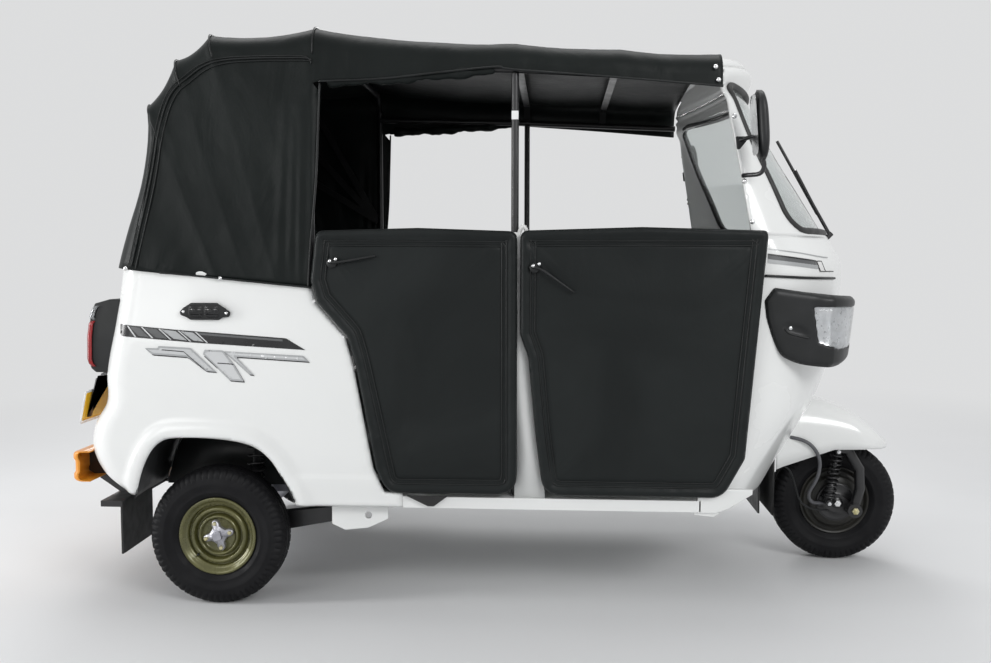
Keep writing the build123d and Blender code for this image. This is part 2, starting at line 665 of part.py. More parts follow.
with BuildPart() as front_damper:
    run = DAMPER_HEAD - DAMPER_FOOT
    with BuildSketch(Plane(origin=DAMPER_FOOT + run.normalized() * (LUG_R + PLAY), z_dir=run)):
        Circle(22)
    extrude(amount=run.length - 2 * (LUG_R + PLAY))
write_node(front_damper.part, "front_damper")

BAR_TOP = column_point(BAR_Z)
with BuildPart() as handlebar:
    with BuildSketch(Plane(origin=BAR_TOP + column_dir * 0.3, z_dir=column_dir)):
        Circle(26)
    extrude(amount=44)
    for side in (-1, 1):
        add(tube_run([BAR_TOP + Vector(-6, 0, 24), BAR_TOP + Vector(-16, side * 150, 34),
                      BAR_TOP + Vector(-96, side * 330, 20)], 13))
write_node(handlebar.part, "handlebar")

# ---------------------------------------------------------------- front fender and pods
FENDER_HALF = 172.0


def fender_solid(inset):
    """The fender's outer volume, closed below, moved inward by inset."""
    half = FENDER_HALF - inset
    with BuildPart() as fender:
        with BuildSketch(side_plane(half)):
            with BuildLine():
                ThreePointArc((1040, 566 - inset), (1167, 520 - inset), (1296 - inset, 408))
                Polyline((1296 - inset, 408), (1180, 300), (870, 300), (870, 566 - inset), (1040, 566 - inset))
            make_face()
        extrude(amount=2 * half)
        with BuildSketch(Plane.XY.offset(280), mode=Mode.PRIVATE) as plan:
            with BuildLine():
                ThreePointArc((1150, half), (1299 - inset, 0), (1150, -half))
                Polyline((1150, -half), (860, -half), (860, half), (1150, half))
            make_face()
        extrude(plan.sketch, amount=320, mode=Mode.INTERSECT)
    return fender.part


fender_floor = ((860, 250), (860, 326), (905, 345), (1075, 404), (1190, 410), (1400, 408), (1400, 250))
fender_outer = fender_solid(0.0)
fender_inner = fender_solid(4.0)
with BuildPart() as front_fender:
    add(fender_outer)
    add(fender_inner, mode=Mode.SUBTRACT)
    add(side_slab(fender_floor, -200, 200), mode=Mode.SUBTRACT)
    add(nose_clear, mode=Mode.SUBTRACT)
    add(backbone(10.0), mode=Mode.SUBTRACT)
write_node(front_fender.part, "front_fender")

with BuildPart() as headlamp_pods:
    for name, side in SIDES:
        low, high = sorted((side * 400, side * 622))
        pod = side_slab(((747, 930), (786, 962), (898, 945), (1000, 934), (978, 765), (880, 737),
                         (826, 749), (792, 780)), low, high, 16, (0, 1, 3, 4, 5, 6, 7))
        add(pod)
    with BuildSketch(Plane.XY.offset(700), mode=Mode.PRIVATE) as plan:
        with BuildLine():
            ThreePointArc((730, 640), (930, 600), (1010, 400))
            Line((1010, 400), (1010, -400))
            ThreePointArc((1010, -400), (930, -600), (730, -640))
            Line((730, -640), (730, 640))
        make_face()
    extrude(plan.sketch, amount=300, mode=Mode.INTERSECT)
    add(nose_clear, mode=Mode.SUBTRACT)
write_node(headlamp_pods.part, "headlamp_pods")

# ---------------------------------------------------------------- doors and their hinges
HINGE_PIN_R = 4.0
HINGE_EYE_SIDE = 13.0
HINGE_EYE = 36.0
HINGE_NOTCH = 44.0
front_lean = Vector(FRONT_HINGE_TOP[0] - FRONT_HINGE_FOOT[0], 0,
                    FRONT_HINGE_TOP[1] - FRONT_HINGE_FOOT[1]).normalized()
# door: outline, rounded corners, hinge heights, axis direction and x of the axis at z = 0
front_axis_x0 = FRONT_HINGE_FOOT[0] - HINGE_R - FRONT_HINGE_FOOT[1] * front_lean.X / front_lean.Z
DOORS = (
    ("rear_door", rear_door_outline, (5, 6), (420.0, 1020.0), Vector(0, 0, 1), REAR_DOOR_HINGE_X, 628.0),
    ("front_door", front_door_outline, (4, 5), (520.0, 1020.0), front_lean, front_axis_x0, 620.0),
)


def hinge_plane(x, z, side, lean):
    """Plane at a hinge: local Z along its axis, local X toward the inside of the vehicle."""
    return Plane(origin=(x, side * DOOR_MID_Y, z), x_dir=(0, -side, 0), z_dir=lean)


with BuildPart() as door_hinges:
    for door, outline, rounded, heights, lean, axis_x0, seat_y in DOORS:
        for name, side in SIDES:
            for z in heights:
                plane = hinge_plane(axis_x0 + z * lean.X / lean.Z, z, side, lean)
                reach = DOOR_MID_Y - seat_y
                with BuildSketch(plane.offset(-HINGE_EYE / 2)):
                    Rectangle(HINGE_EYE_SIDE, HINGE_EYE_SIDE)
                    with Locations((reach / 2, 0)):
                        Rectangle(reach, 8)
                    Circle(HINGE_PIN_R + HINGE_FIT, mode=Mode.SUBTRACT)
                extrude(amount=HINGE_EYE)
    add(nose_clear, mode=Mode.SUBTRACT)
write_node(door_hinges.part, "door_hinges")

for door, outline, rounded, heights, lean, axis_x0, seat_y in DOORS:
    for name, side in SIDES:
        low, high = sorted((side * DOOR_INNER_Y, side * DOOR_OUTER_Y))
        slab = side_slab(outline, low, high, 42, rounded)
        with BuildPart() as panel:
            add(slab)
            for z in heights:
                plane = hinge_plane(axis_x0 + z * lean.X / lean.Z, z, side, lean)
                with BuildSketch(plane.offset(-HINGE_NOTCH / 2)):
                    with Locations((2, side * 2)):
                        Rectangle(24, 24)
                extrude(amount=HINGE_NOTCH, mode=Mode.SUBTRACT)
                with BuildSketch(plane.offset(-HINGE_NOTCH / 2 - 3)):
                    Circle(HINGE_PIN_R)
                extrude(amount=HINGE_NOTCH + 6)
        write_node(panel.part, door + "_" + name)

PILLAR_X = 26.0
PILLAR_Y = 582.0
with BuildPart() as centre_pillars:
    for name, side in SIDES:
        with BuildSketch(Plane.XY.offset(FLOOR_TOP)):
            with Locations((PILLAR_X, side * PILLAR_Y)):
                Circle(BOW_DIAMETER / 2)
        extrude(amount=1590 - BOW_DIAMETER / 2 - 1.2 - FLOOR_TOP)
        low, high = sorted((side * 622, side * 628))
        add(side_slab(((28, FLOOR_TOP), (118, FLOOR_TOP), (96, 560), (62, 800), (44, 1120), (10, 1120),
                       (10, 800), (28, 560)), low, high))
        with Locations((PILLAR_X, side * 607, 1000), (PILLAR_X + 10, side * 607, 480)):
            Box(24, 32, 30)
write_node(centre_pillars.part, "centre_pillars")

# ---------------------------------------------------------------- canopy
# Hoops of the soft top, rear to front. foot, foot_z: where each leaves the hem; top, top_z:
# the roof's edge line; half: half width at the foot; shoulder: half width at the roof's
# edge; corner: radius of the roof's edge; crown: rise of the middle
CANOPY_HOOPS = (
    # foot,   foot_z, top,     top_z,  half,  shoulder, corner, crown
    (-1000.0, 998.6, -1172.0, 1016.0, 641.0, 641.0, 90.0, 0.1),
    (-850.0, 984.0, -1082.0, 1494.0, 641.0, 616.0, 66.0, 8.0),
    (-760.0, 975.2, -992.0, 1628.0, 641.0, 612.0, 66.0, 12.0),
    (-670.0, 966.5, -880.0, 1702.0, 641.0, 610.0, 66.0, 18.0),
    (-562.0, 955.9, -562.0, 1722.0, 641.0, 610.0, 66.0, 18.0),
    (-360.0, 1400.0, -360.0, 1690.0, 614.0, 608.0, 66.0, 22.0),
    (28.0, 1400.0, 28.0, 1672.0, 608.0, 604.0, 66.0, 26.0),
    (326.0, 1400.0, 326.0, 1652.0, 602.0, 600.0, 66.0, 28.0),
    (618.0, 1400.0, 618.0, 1636.0, 594.0, 592.0, 66.0, 30.0),
)
BOW_HOOPS = CANOPY_HOOPS[1:4]


def hoop_section(plane, height, half, shoulder, corner, crown):
    """A hoop in the plane's local frame: x across, y from the feet to the roof."""
    edge = corner * (1 - sin(radians(45)))
    side = ((half, 0), (shoulder, height - corner), (shoulder - edge, height - edge),
            (shoulder - corner, height))
    with BuildSketch(plane) as hoop:
        with BuildLine():
            Polyline(*[(-y, z) for y, z in side])
            ThreePointArc((corner - shoulder, height), (0, height + crown), (shoulder - corner, height))
            Polyline(*side[::-1], (-half, 0))
        make_face()
    return hoop.sketch


def canopy_solid(inset, drop):
    """The volume under the cloth, moved inward by inset; its feet go down by drop."""
    hoops = []
    for foot, foot_z, top, top_z, half, shoulder, corner, crown in CANOPY_HOOPS:
        up = Vector(top - foot, 0, top_z - foot_z)
        plane = Plane(origin=Vector(foot, 0, foot_z) - up.normalized() * drop,
                      x_dir=(0, 1, 0), z_dir=Vector(0, 1, 0).cross(up))
        hoops.append(hoop_section(plane, up.length - inset + drop, half - inset,
                                  shoulder - inset, corner - inset, crown))
    with BuildPart() as volume:
        loft(sections=hoops, ruled=True)
    return volume.part


canopy_outer = canopy_solid(0.0, 0.0)
canopy_inner = canopy_solid(CANOPY_CLOTH, 40.0)
side_way = side_slab(((-576, 900), (-574, 960), (-554, 1265), (-542, 1556), (-360, 1562), (-29, 1592),
                      (24, 1584), (326, 1560), (700, 1526), (700, 900)), -700, 700)
rear_window = side_slab(((-1200, 1110), (-1020, 1110), (-1020, 1400), (-1200, 1400)), -330, 330)
with BuildPart() as canopy:
    add(canopy_outer)
    add(canopy_inner, mode=Mode.SUBTRACT)
    add(side_way, mode=Mode.SUBTRACT)
    add(rear_window, mode=Mode.SUBTRACT)
write_node(canopy.part, "canopy")

# ---------------------------------------------------------------- canopy frame
BOW_R = BOW_DIAMETER / 2
BAR_WIDTH = 24.0         # flat bar that the folding bows are bent from
BAR_THICK = 6.0
BOW_BEND = 58.0
HOOD_PIVOT = Vector(-590, 0, 1195)
POST_X = -578.0
POST_FOOT_Z = 1000.0
RAIL_POINTS = ((POST_X, 580.0, 1606.0), (26.0, 580.0, 1590.0), (617.5, 548.0, 1560.0))
ROOF_BOWS = ((26.0, 1652.0), (330.0, 1632.0))
cloth_gap = CANOPY_CLOTH + 3.0


def flat_bow(plane, half, height):
    """A bow bent from flat bar in the plane, its feet at the plane's origin."""
    with BuildPart() as bow:
        with BuildSketch(plane):
            with BuildLine():
                FilletPolyline((-half, 0), (-half, height), (half, height), (half, 0), radius=BOW_BEND)
            trace(line_width=BAR_THICK)
        extrude(amount=BAR_WIDTH / 2, both=True)
    return bow.part


with BuildPart() as canopy_frame:
    for foot, foot_z, top, top_z, half, shoulder, corner, crown in BOW_HOOPS:
        up = Vector(top, 0, top_z) - HOOD_PIVOT
        plane = Plane(origin=HOOD_PIVOT, x_dir=(0, 1, 0), z_dir=Vector(0, 1, 0).cross(up))
        add(flat_bow(plane, shoulder - cloth_gap - BOW_R - 6, up.length - cloth_gap - BOW_R - 4))
    post_y = CANOPY_HOOPS[4][5] - cloth_gap - BOW_R - 6
    post_top = CANOPY_HOOPS[4][3] - cloth_gap - BOW_R - 3
    add(tube_run([Vector(POST_X, -post_y, POST_FOOT_Z), Vector(POST_X, -post_y, post_top - BOW_BEND),
                  Vector(POST_X, -post_y + BOW_BEND, post_top), Vector(POST_X, post_y - BOW_BEND, post_top),
                  Vector(POST_X, post_y, post_top - BOW_BEND), Vector(POST_X, post_y, POST_FOOT_Z)], BOW_R))
    for side in (-1, 1):
        with Locations((POST_X - 14, side * (post_y + 620.4) / 2, POST_FOOT_Z + 12)):
            Box(36, 620.4 - post_y, 26)
        add(tube_run([Vector(x, side * y, z) for x, y, z in RAIL_POINTS], BOW_R))
    for x, z in ROOF_BOWS:
        share = (x - RAIL_POINTS[1][0]) / (RAIL_POINTS[2][0] - RAIL_POINTS[1][0])
        foot_y = RAIL_POINTS[1][1] + share * (RAIL_POINTS[2][1] - RAIL_POINTS[1][1])
        foot_z = RAIL_POINTS[1][2] + share * (RAIL_POINTS[2][2] - RAIL_POINTS[1][2])
        with BuildSketch(front_plane(x - BAR_WIDTH / 2)):
            with BuildLine():
                Polyline((-foot_y, foot_z), (-530, z), (530, z), (foot_y, foot_z))
            trace(line_width=BAR_THICK)
        extrude(amount=BAR_WIDTH)
write_node(canopy_frame.part, "canopy_frame")

# ---------------------------------------------------------------- seats and bulkhead
SEAT_FRONT = -470.0
SEAT_TOP = 700.0
BULK = 10.0
with BuildPart() as seat_box:
    box_profile = [(-590.0, FLOOR_TOP), (-430.0, FLOOR_TOP), (-470.0, 620.0), (-1010.0, 620.0),
                   (-1100.0, 980.0), (-1110.0, 980.0), (-1020.0, 610.0), (-480.0, 610.0),
                   (-441.0, FLOOR_TOP + BULK), (-590.0, FLOOR_TOP + BULK)]
    add(side_slab(box_profile, -600, 600))
write_node(seat_box.part, "seat_box")

with BuildPart() as passenger_seat:
    add(side_slab(((-1000, 620.3), (-455, 620.3), (-448, 690), (-470, 715), (-985, 700)), -590, 590, 20, (2, 3)))
    add(side_slab(((-985, 700 + PLAY), (-905, 702.4 + PLAY), (-955, 1080), (-985, 1100), (-1055, 1090)),
                  -590, 590, 20, (2, 3)))
write_node(passenger_seat.part, "passenger_seat")

with BuildPart() as driver_seat:
    add(side_slab(((60, 600), (370, 600), (385, 650), (360, 680), (60, 672)), -250, 250, 20, (2, 3)))
    add(side_slab(((-35, 700), (35, 690), (-10, 1000), (-40, 1020), (-80, 1000)), -230, 230, 18, (2, 3, 4)))
write_node(driver_seat.part, "driver_seat")

with BuildPart() as driver_seat_stand:
    add(side_slab(((40, FLOOR_TOP), (350, FLOOR_TOP), (370, 599.7), (-30, 599.7), (-35.5, 699),
                   (-82.0, 1005), (-90, 1003), (-46, 700), (-40, 580)), -220, 220))
write_node(driver_seat_stand.part, "driver_seat_stand")

# ---------------------------------------------------------------- lamps, bumper and trim
with BuildPart() as tail_lamps:
    for name, side in SIDES:
        low, high = sorted((side * 470, side * 600))
        add(side_slab(((-1150, 700), (-1150, 922), (-1215, 922), (-1250, 890), (-1268, 800),
                       (-1262, 730), (-1240, 700)), low, high, 14, (2, 3, 5, 6)))
    add(tub_clear, mode=Mode.SUBTRACT)
write_node(tail_lamps.part, "tail_lamps")

PLATE_NEAR, PLATE_FAR = -588.0, -303.0
with BuildPart() as number_plate:
    add(side_slab(((-1281, 648), (-1275, 648), (-1299, 540), (-1305, 540)), PLATE_NEAR, PLATE_FAR))
    add(side_slab(((-1212.5, 690), (-1212.5, 664), (-1255, 664), (-1296, 672), (-1296, 684), (-1240, 690)),
                  -560, -320))
    for y in (-530.0, -350.0):
        add(side_slab(((-1276.5, 640), (-1279, 628), (-1214, 620), (-1214, 634)), y - 12, y + 12))
    add(tub_clear, mode=Mode.SUBTRACT)
write_node(number_plate.part, "number_plate")

BUMPER_HALF = 605.0
BUMPER_RETURN = 60.0
with BuildPart() as rear_bumper:
    with BuildSketch(Plane.XY.offset(366)):
        with BuildLine():
            Polyline((-1262, -BUMPER_HALF), (-1290, -BUMPER_HALF), (-1323, -BUMPER_HALF + 50),
                     (-1323, BUMPER_HALF - 50), (-1290, BUMPER_HALF), (-1262, BUMPER_HALF),
                     (-1262, BUMPER_HALF - 5), (-1287, BUMPER_HALF - 5), (-1317, BUMPER_HALF - 52),
                     (-1317, -BUMPER_HALF + 52), (-1287, -BUMPER_HALF + 5), (-1262, -BUMPER_HALF + 5),
                     close=True)
        make_face()
    extrude(amount=92)
write_node(rear_bumper.part, "rear_bumper")

FLAP = 6.0
FLAP_X = -1160.0
with BuildPart() as bumper_brackets:
    for side in (-1, 1):
        add(side_slab(((-1316.7, 380), (-1316.7, 440), (-1225, 440), (-1163.3, 345), (-1163.3, 300), (-1200, 300)),
                      *sorted((side * 480, side * 500))))
    add(tub_clear, mode=Mode.SUBTRACT)
    add(side_slab(((-1225, 294), (FLAP_X - FLAP / 2, 294), (FLAP_X - FLAP / 2, 312), (-1225, 312)), -620, 620))
    for side in (-1, 1):
        with Locations(((FLAP_X - FLAP / 2 + RAIL_REAR) / 2, side * RAIL_Y, 303)):
            Box(RAIL_REAR - FLAP_X + FLAP / 2, RAIL_WIDTH, 18)
write_node(bumper_brackets.part, "bumper_brackets")

with BuildPart() as mudflaps:
    for side in (-1, 1):
        low, high = sorted((side * 400, side * 622))
        add(side_slab(((FLAP_X - FLAP / 2, 150), (FLAP_X + FLAP / 2, 150), (FLAP_X + FLAP / 2, 311.7),
                       (FLAP_X - FLAP / 2, 311.7)), low, high))
    add(side_slab(((832, 392), (838, 392), (842, 180), (836, 180)), -130, 130))
    add(nose_clear, mode=Mode.SUBTRACT)
write_node(mudflaps.part, "mudflaps")

with BuildPart() as side_vents:
    for name, side in SIDES:
        low, high = sorted((side * 640, side * 656))
        add(side_slab(((-960, 886), (-917, 917), (-835, 917), (-795, 886), (-829, 862), (-925, 862)),
                      low, high, 8, (0, 1, 2, 3, 4, 5)))
    add(tub_clear, mode=Mode.SUBTRACT)
write_node(side_vents.part, "side_vents")

with BuildPart() as step_pads:
    for name, side in SIDES:
        low, high = sorted((side * (SILL_Y + PLAY), side * (SILL_Y + 12)))
        add(side_slab(((-286, 349), (-168, 349), (-207, 320), (-225, 320)), low, high))
write_node(step_pads.part, "step_pads")

with BuildPart() as mirrors:
    for name, side in SIDES:
        with Locations((706, side * 672, 1414)):
            Box(34, 112, 196)
        add(tube_run([Vector(706, side * 640, 1330), Vector(712, side * 610, 1275)], 8))
        with Locations((716, side * 600, 1262)):
            Box(50, 26, 60)
    add(nose_solid(SCREEN_SECTIONS, -PLAY, NOSE_REAR_X), mode=Mode.SUBTRACT)
write_node(mirrors.part, "mirrors")

WIPER_SPINDLE_R = 9.0
WIPER_ROOT = Vector(1040, -40, 1088)
WIPER_TOP = Vector(1082, -40, 1131)
with BuildPart() as wiper:
    spindle = WIPER_TOP - WIPER_ROOT
    with BuildSketch(Plane(origin=WIPER_ROOT, z_dir=spindle)):
        Circle(WIPER_SPINDLE_R)
    extrude(amount=spindle.length)
    add(tube_run([WIPER_TOP + Vector(-6, 0, -5), Vector(1010, -60, 1230), Vector(945, -80, 1340)], 6))
    add(tube_run([Vector(1030, -50, 1195), Vector(888, -60, 1440)], 5))
    add(nose_solid(SCREEN_SECTIONS, -PLAY, NOSE_REAR_X), mode=Mode.SUBTRACT)
    add(nose_clear, mode=Mode.SUBTRACT)
write_node(wiper.part, "wiper")

with BuildPart() as dashboard:
    add(nose_solid(NOSE_SECTIONS, SHEET + PLAY, NOSE_REAR_X))
    add(side_slab(((900, 1100), (930, 1060), (1400, 1060), (1400, 1100)), -600, 600), mode=Mode.INTERSECT)
write_node(dashboard.part, "dashboard")
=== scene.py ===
from math import cos, hypot, pi, radians, sin, sqrt, tan

import bmesh
import bpy
import numpy as np
from mathutils import Matrix, Vector, noise


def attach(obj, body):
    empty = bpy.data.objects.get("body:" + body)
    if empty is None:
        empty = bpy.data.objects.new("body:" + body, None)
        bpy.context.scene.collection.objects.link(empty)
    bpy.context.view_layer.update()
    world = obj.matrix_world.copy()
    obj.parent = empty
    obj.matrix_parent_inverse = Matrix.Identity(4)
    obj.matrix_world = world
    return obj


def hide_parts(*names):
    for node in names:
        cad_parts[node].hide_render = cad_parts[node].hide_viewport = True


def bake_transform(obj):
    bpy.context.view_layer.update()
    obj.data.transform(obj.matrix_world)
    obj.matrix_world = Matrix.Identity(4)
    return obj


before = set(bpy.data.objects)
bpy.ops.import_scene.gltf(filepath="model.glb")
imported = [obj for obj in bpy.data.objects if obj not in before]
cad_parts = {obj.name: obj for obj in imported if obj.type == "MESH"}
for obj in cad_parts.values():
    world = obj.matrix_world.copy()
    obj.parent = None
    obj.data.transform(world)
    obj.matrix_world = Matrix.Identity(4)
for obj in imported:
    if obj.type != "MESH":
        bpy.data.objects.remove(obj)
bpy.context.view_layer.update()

# An auto rickshaw with a folding soft top and soft half doors. The tables are in
# millimetres in the CAD frame: +X forward, +Y to the vehicle's left, +Z up.
MM = 0.001
SIDES = (("left", 1), ("right", -1))


# ---------------------------------------------------------------- camera, lights, floor
BACKDROP = (0.72, 0.725, 0.73)
FADE_START, FADE_END = 1.9, 5.5      # metres from the object where the floor turns into the backdrop
WORLD_LIGHT, FLOOR_REACH = 0.46, 60.0
# name, place, target, size and power, in metres and watts
LAMPS = (("key", (2.9, -4.3, 3.2), (0.2, 0, 0.7), (2.4, 1.4), 104),
         ("fill", (-3.0, -4.2, 1.9), (-0.3, 0, 0.8), (1.4, 2.6), 25),
         ("top", (0.0, 0.4, 4.2), (0, 0, 0), (4.2, 2.0), 66),
         ("back", (-0.6, 4.8, 3.2), (0, 0, 1.0), (4.2, 1.2), 118),
         ("rear_strip", (-4.4, -1.5, 1.5), (-1.0, -0.4, 1.1), (0.7, 2.4), 84))
CAMERA_PLACE = (147.53, -3477.38, 1047.80)
CAMERA_TURN = (-3.522, 4.304, 0.059)      # yaw, pitch down and roll, in degrees
CAMERA_LENS, CAMERA_SENSOR = 35.81, 36.0


def camera():
    """The main view, off the right side and nearly level."""
    place = Vector(CAMERA_PLACE) * MM
    yaw, pitch, roll = (radians(angle) for angle in CAMERA_TURN)
    look = Vector((sin(yaw) * cos(pitch), cos(yaw) * cos(pitch), -sin(pitch)))
    right = Vector((cos(yaw), -sin(yaw), 0))
    up = right.cross(look)
    side = right * cos(roll) + up * sin(roll)
    top = up * cos(roll) - right * sin(roll)
    data = bpy.data.cameras.new("camera")
    data.lens = CAMERA_LENS
    data.sensor_width = CAMERA_SENSOR
    obj = bpy.data.objects.new("camera", data)
    obj.matrix_world = Matrix.Translation(place) @ Matrix((side, top, -look)).transposed().to_4x4()
    bpy.context.scene.collection.objects.link(obj)
    bpy.context.scene.camera = obj


def area_light(name, place, target, size, power):
    """A rectangular lamp that faces its target."""
    data = bpy.data.lights.new(name, "AREA")
    data.shape = "RECTANGLE"
    data.size, data.size_y = size
    data.energy = power
    obj = bpy.data.objects.new(name, data)
    obj.location = place
    obj.rotation_euler = (Vector(target) - Vector(place)).to_track_quat("-Z", "Y").to_euler()
    bpy.context.scene.collection.objects.link(obj)


def mix_shaders(tree, output, factor, first, second):
    """Mixes two shaders by the factor and leads them to the output node."""
    mix = tree.nodes.new("ShaderNodeMixShader")
    for socket, source in zip(mix.inputs, (factor, first, second)):
        tree.links.new(source, socket)
    tree.links.new(mix.outputs[0], tree.nodes[output].inputs["Surface"])


def studio():
    """Soft boxes round the object, a floor that fades into the backdrop, and a world that
    lights at one level and shows the backdrop's colour."""
    world = bpy.data.worlds.new("studio")
    world.use_nodes = True
    tree = world.node_tree
    light = tree.nodes["Background"]
    light.inputs["Color"].default_value = (0.97, 0.98, 1.0, 1)
    light.inputs["Strength"].default_value = WORLD_LIGHT
    shown = tree.nodes.new("ShaderNodeBackground")
    shown.inputs["Color"].default_value = (*BACKDROP, 1)
    path = tree.nodes.new("ShaderNodeLightPath")
    seen = path.outputs["Is Camera Ray"]
    for other in ("Is Glossy Ray", "Is Transmission Ray"):
        most = tree.nodes.new("ShaderNodeMath")
        most.operation = "MAXIMUM"
        tree.links.new(seen, most.inputs[0])
        tree.links.new(path.outputs[other], most.inputs[1])
        seen = most.outputs[0]
    mix_shaders(tree, "World Output", seen, light.outputs[0], shown.outputs[0])
    bpy.context.scene.world = world
    for lamp in LAMPS:
        area_light(*lamp)
    bpy.context.scene.view_settings.view_transform = "Standard"
    corners = [(a * FLOOR_REACH, b * FLOOR_REACH, 0) for a, b in ((-1, -1), (1, -1), (1, 1), (-1, 1))]
    floor = piece("floor", corners, [(0, 1, 2, 3)], floor_material(), scale=1.0)


# ---------------------------------------------------------------- materials
def graph(name):
    mat = bpy.data.materials.new(name)
    mat.use_nodes = True
    tree = mat.node_tree
    shader = tree.nodes["Principled BSDF"]
    coords = tree.nodes.new("ShaderNodeTexCoord")
    return mat, tree, shader, coords.outputs["Object"]


def noise_of(tree, coords, scale, detail=4.0, distortion=0.0, stretch=None):
    node = tree.nodes.new("ShaderNodeTexNoise")
    node.inputs["Scale"].default_value = scale
    node.inputs["Detail"].default_value = detail
    node.inputs["Distortion"].default_value = distortion
    if stretch:
        mapping = tree.nodes.new("ShaderNodeMapping")
        mapping.inputs["Scale"].default_value = stretch
        tree.links.new(coords, mapping.inputs["Vector"])
        coords = mapping.outputs["Vector"]
    tree.links.new(coords, node.inputs["Vector"])
    return node.outputs["Fac"]


def ramp_of(tree, value, low, high, start=0.3, end=0.7):
    node = tree.nodes.new("ShaderNodeMapRange")
    for socket, number in zip(("From Min", "From Max", "To Min", "To Max"), (start, end, low, high)):
        node.inputs[socket].default_value = number
    tree.links.new(value, node.inputs["Value"])
    return node.outputs["Result"]


def colour_of(tree, value, first, second, start=0.35, end=0.65):
    node = tree.nodes.new("ShaderNodeValToRGB")
    node.color_ramp.elements[0].position = start
    node.color_ramp.elements[1].position = end
    node.color_ramp.elements[0].color = (*first, 1)
    node.color_ramp.elements[1].color = (*second, 1)
    tree.links.new(value, node.inputs["Fac"])
    return node.outputs["Color"]


def bump_of(tree, shader, heights):
    """Chained bumps: each height is a value, its depth in metres and its strength."""
    normal = None
    for value, depth, strength in heights:
        node = tree.nodes.new("ShaderNodeBump")
        node.inputs["Distance"].default_value = depth
        node.inputs["Strength"].default_value = strength
        tree.links.new(value, node.inputs["Height"])
        if normal:
            tree.links.new(normal, node.inputs["Normal"])
        normal = node.outputs["Normal"]
    tree.links.new(normal, shader.inputs["Normal"])


def finish(name, first, second, patch=6.0, rough=(0.3, 0.4), bumps=(), metallic=0.0, coat=0.0,
           coat_rough=0.1, specular=0.5):
    """A surface with two shades in soft patches, uneven gloss and fine relief.
    Each bump is a noise scale, its depth in metres and its strength."""
    mat, tree, shader, coords = graph(name)
    tree.links.new(colour_of(tree, noise_of(tree, coords, patch), first, second), shader.inputs["Base Color"])
    tree.links.new(ramp_of(tree, noise_of(tree, coords, patch * 2.3), *rough), shader.inputs["Roughness"])
    shader.inputs["Metallic"].default_value = metallic
    shader.inputs["Coat Weight"].default_value = coat
    shader.inputs["Coat Roughness"].default_value = coat_rough
    shader.inputs["Specular IOR Level"].default_value = specular
    bump_of(tree, shader, [(noise_of(tree, coords, scale), depth, strength) for scale, depth,
                           strength in bumps])
    return mat


def vinyl_material(name, first, second, grain, crease):
    """Coated cloth: a fine pebble grain, long soft creases and a greenish sheen."""
    mat, tree, shader, coords = graph(name)
    patches = noise_of(tree, coords, 2.6, 5.0, 1.2)
    tree.links.new(colour_of(tree, patches, first, second), shader.inputs["Base Color"])
    tree.links.new(ramp_of(tree, noise_of(tree, coords, 5.0, 6.0), 0.33, 0.48), shader.inputs["Roughness"])
    pebbles = tree.nodes.new("ShaderNodeTexVoronoi")
    pebbles.inputs["Scale"].default_value = 620.0
    tree.links.new(coords, pebbles.inputs["Vector"])
    folds = noise_of(tree, coords, 7.0, 3.0, 1.6, (1.0, 1.0, 0.45))
    small = noise_of(tree, coords, 34.0, 3.0, 0.8)
    bump_of(tree, shader, [(folds, 0.012, crease), (small, 0.0012, 0.35),
                           (pebbles.outputs["Distance"], 0.0004, grain)])
    shader.inputs["Sheen Weight"].default_value = 0.02
    shader.inputs["Sheen Roughness"].default_value = 0.45
    shader.inputs["Specular IOR Level"].default_value = 0.15
    return mat


def glass_material():
    mat, tree, shader, coords = graph("clear_glass")
    shader.inputs["Base Color"].default_value = (0.82, 0.86, 0.85, 1)
    shader.inputs["Transmission Weight"].default_value = 0.82
    shader.inputs["IOR"].default_value = 1.45
    tree.links.new(ramp_of(tree, noise_of(tree, coords, 9.0), 0.03, 0.08), shader.inputs["Roughness"])
    bump_of(tree, shader, [(noise_of(tree, coords, 3.0), 0.002, 0.05)])
    return mat


def lens_material(name, colour, ribs):
    """Moulded lamp lens with fine upright ribs."""
    mat, tree, shader, coords = graph(name)
    tree.links.new(colour_of(tree, noise_of(tree, coords, 40.0), colour, [c * 0.72 for c in colour]),
                   shader.inputs["Base Color"])
    shader.inputs["Transmission Weight"].default_value = 0.85 if min(colour) > 0.5 else 0.15
    shader.inputs["Roughness"].default_value = 0.10
    wave = tree.nodes.new("ShaderNodeTexWave")
    wave.inputs["Scale"].default_value = ribs
    wave.bands_direction = "Z"
    tree.links.new(coords, wave.inputs["Vector"])
    bump_of(tree, shader, [(wave.outputs["Fac"], 0.0005, 0.25)])
    return mat


def floor_material():
    """Matt pale floor, which fades into the backdrop's colour far from the object."""
    mat, tree, shader, coords = graph("floor_paint")
    tree.links.new(colour_of(tree, noise_of(tree, coords, 0.7), (0.70, 0.705, 0.71), (0.73, 0.735, 0.74)),
                   shader.inputs["Base Color"])
    shader.inputs["Roughness"].default_value = 0.7
    shader.inputs["Specular IOR Level"].default_value = 0.2
    reach = tree.nodes.new("ShaderNodeVectorMath")
    reach.operation = "LENGTH"
    tree.links.new(coords, reach.inputs[0])
    far = tree.nodes.new("ShaderNodeMapRange")
    far.interpolation_type = "SMOOTHSTEP"
    far.inputs["From Min"].default_value = FADE_START
    far.inputs["From Max"].default_value = FADE_END
    tree.links.new(reach.outputs["Value"], far.inputs["Value"])
    glow = tree.nodes.new("ShaderNodeEmission")
    glow.inputs["Color"].default_value = (*BACKDROP, 1)
    mix_shaders(tree, "Material Output", far.outputs["Result"], shader.outputs[0], glow.outputs[0])
    return mat


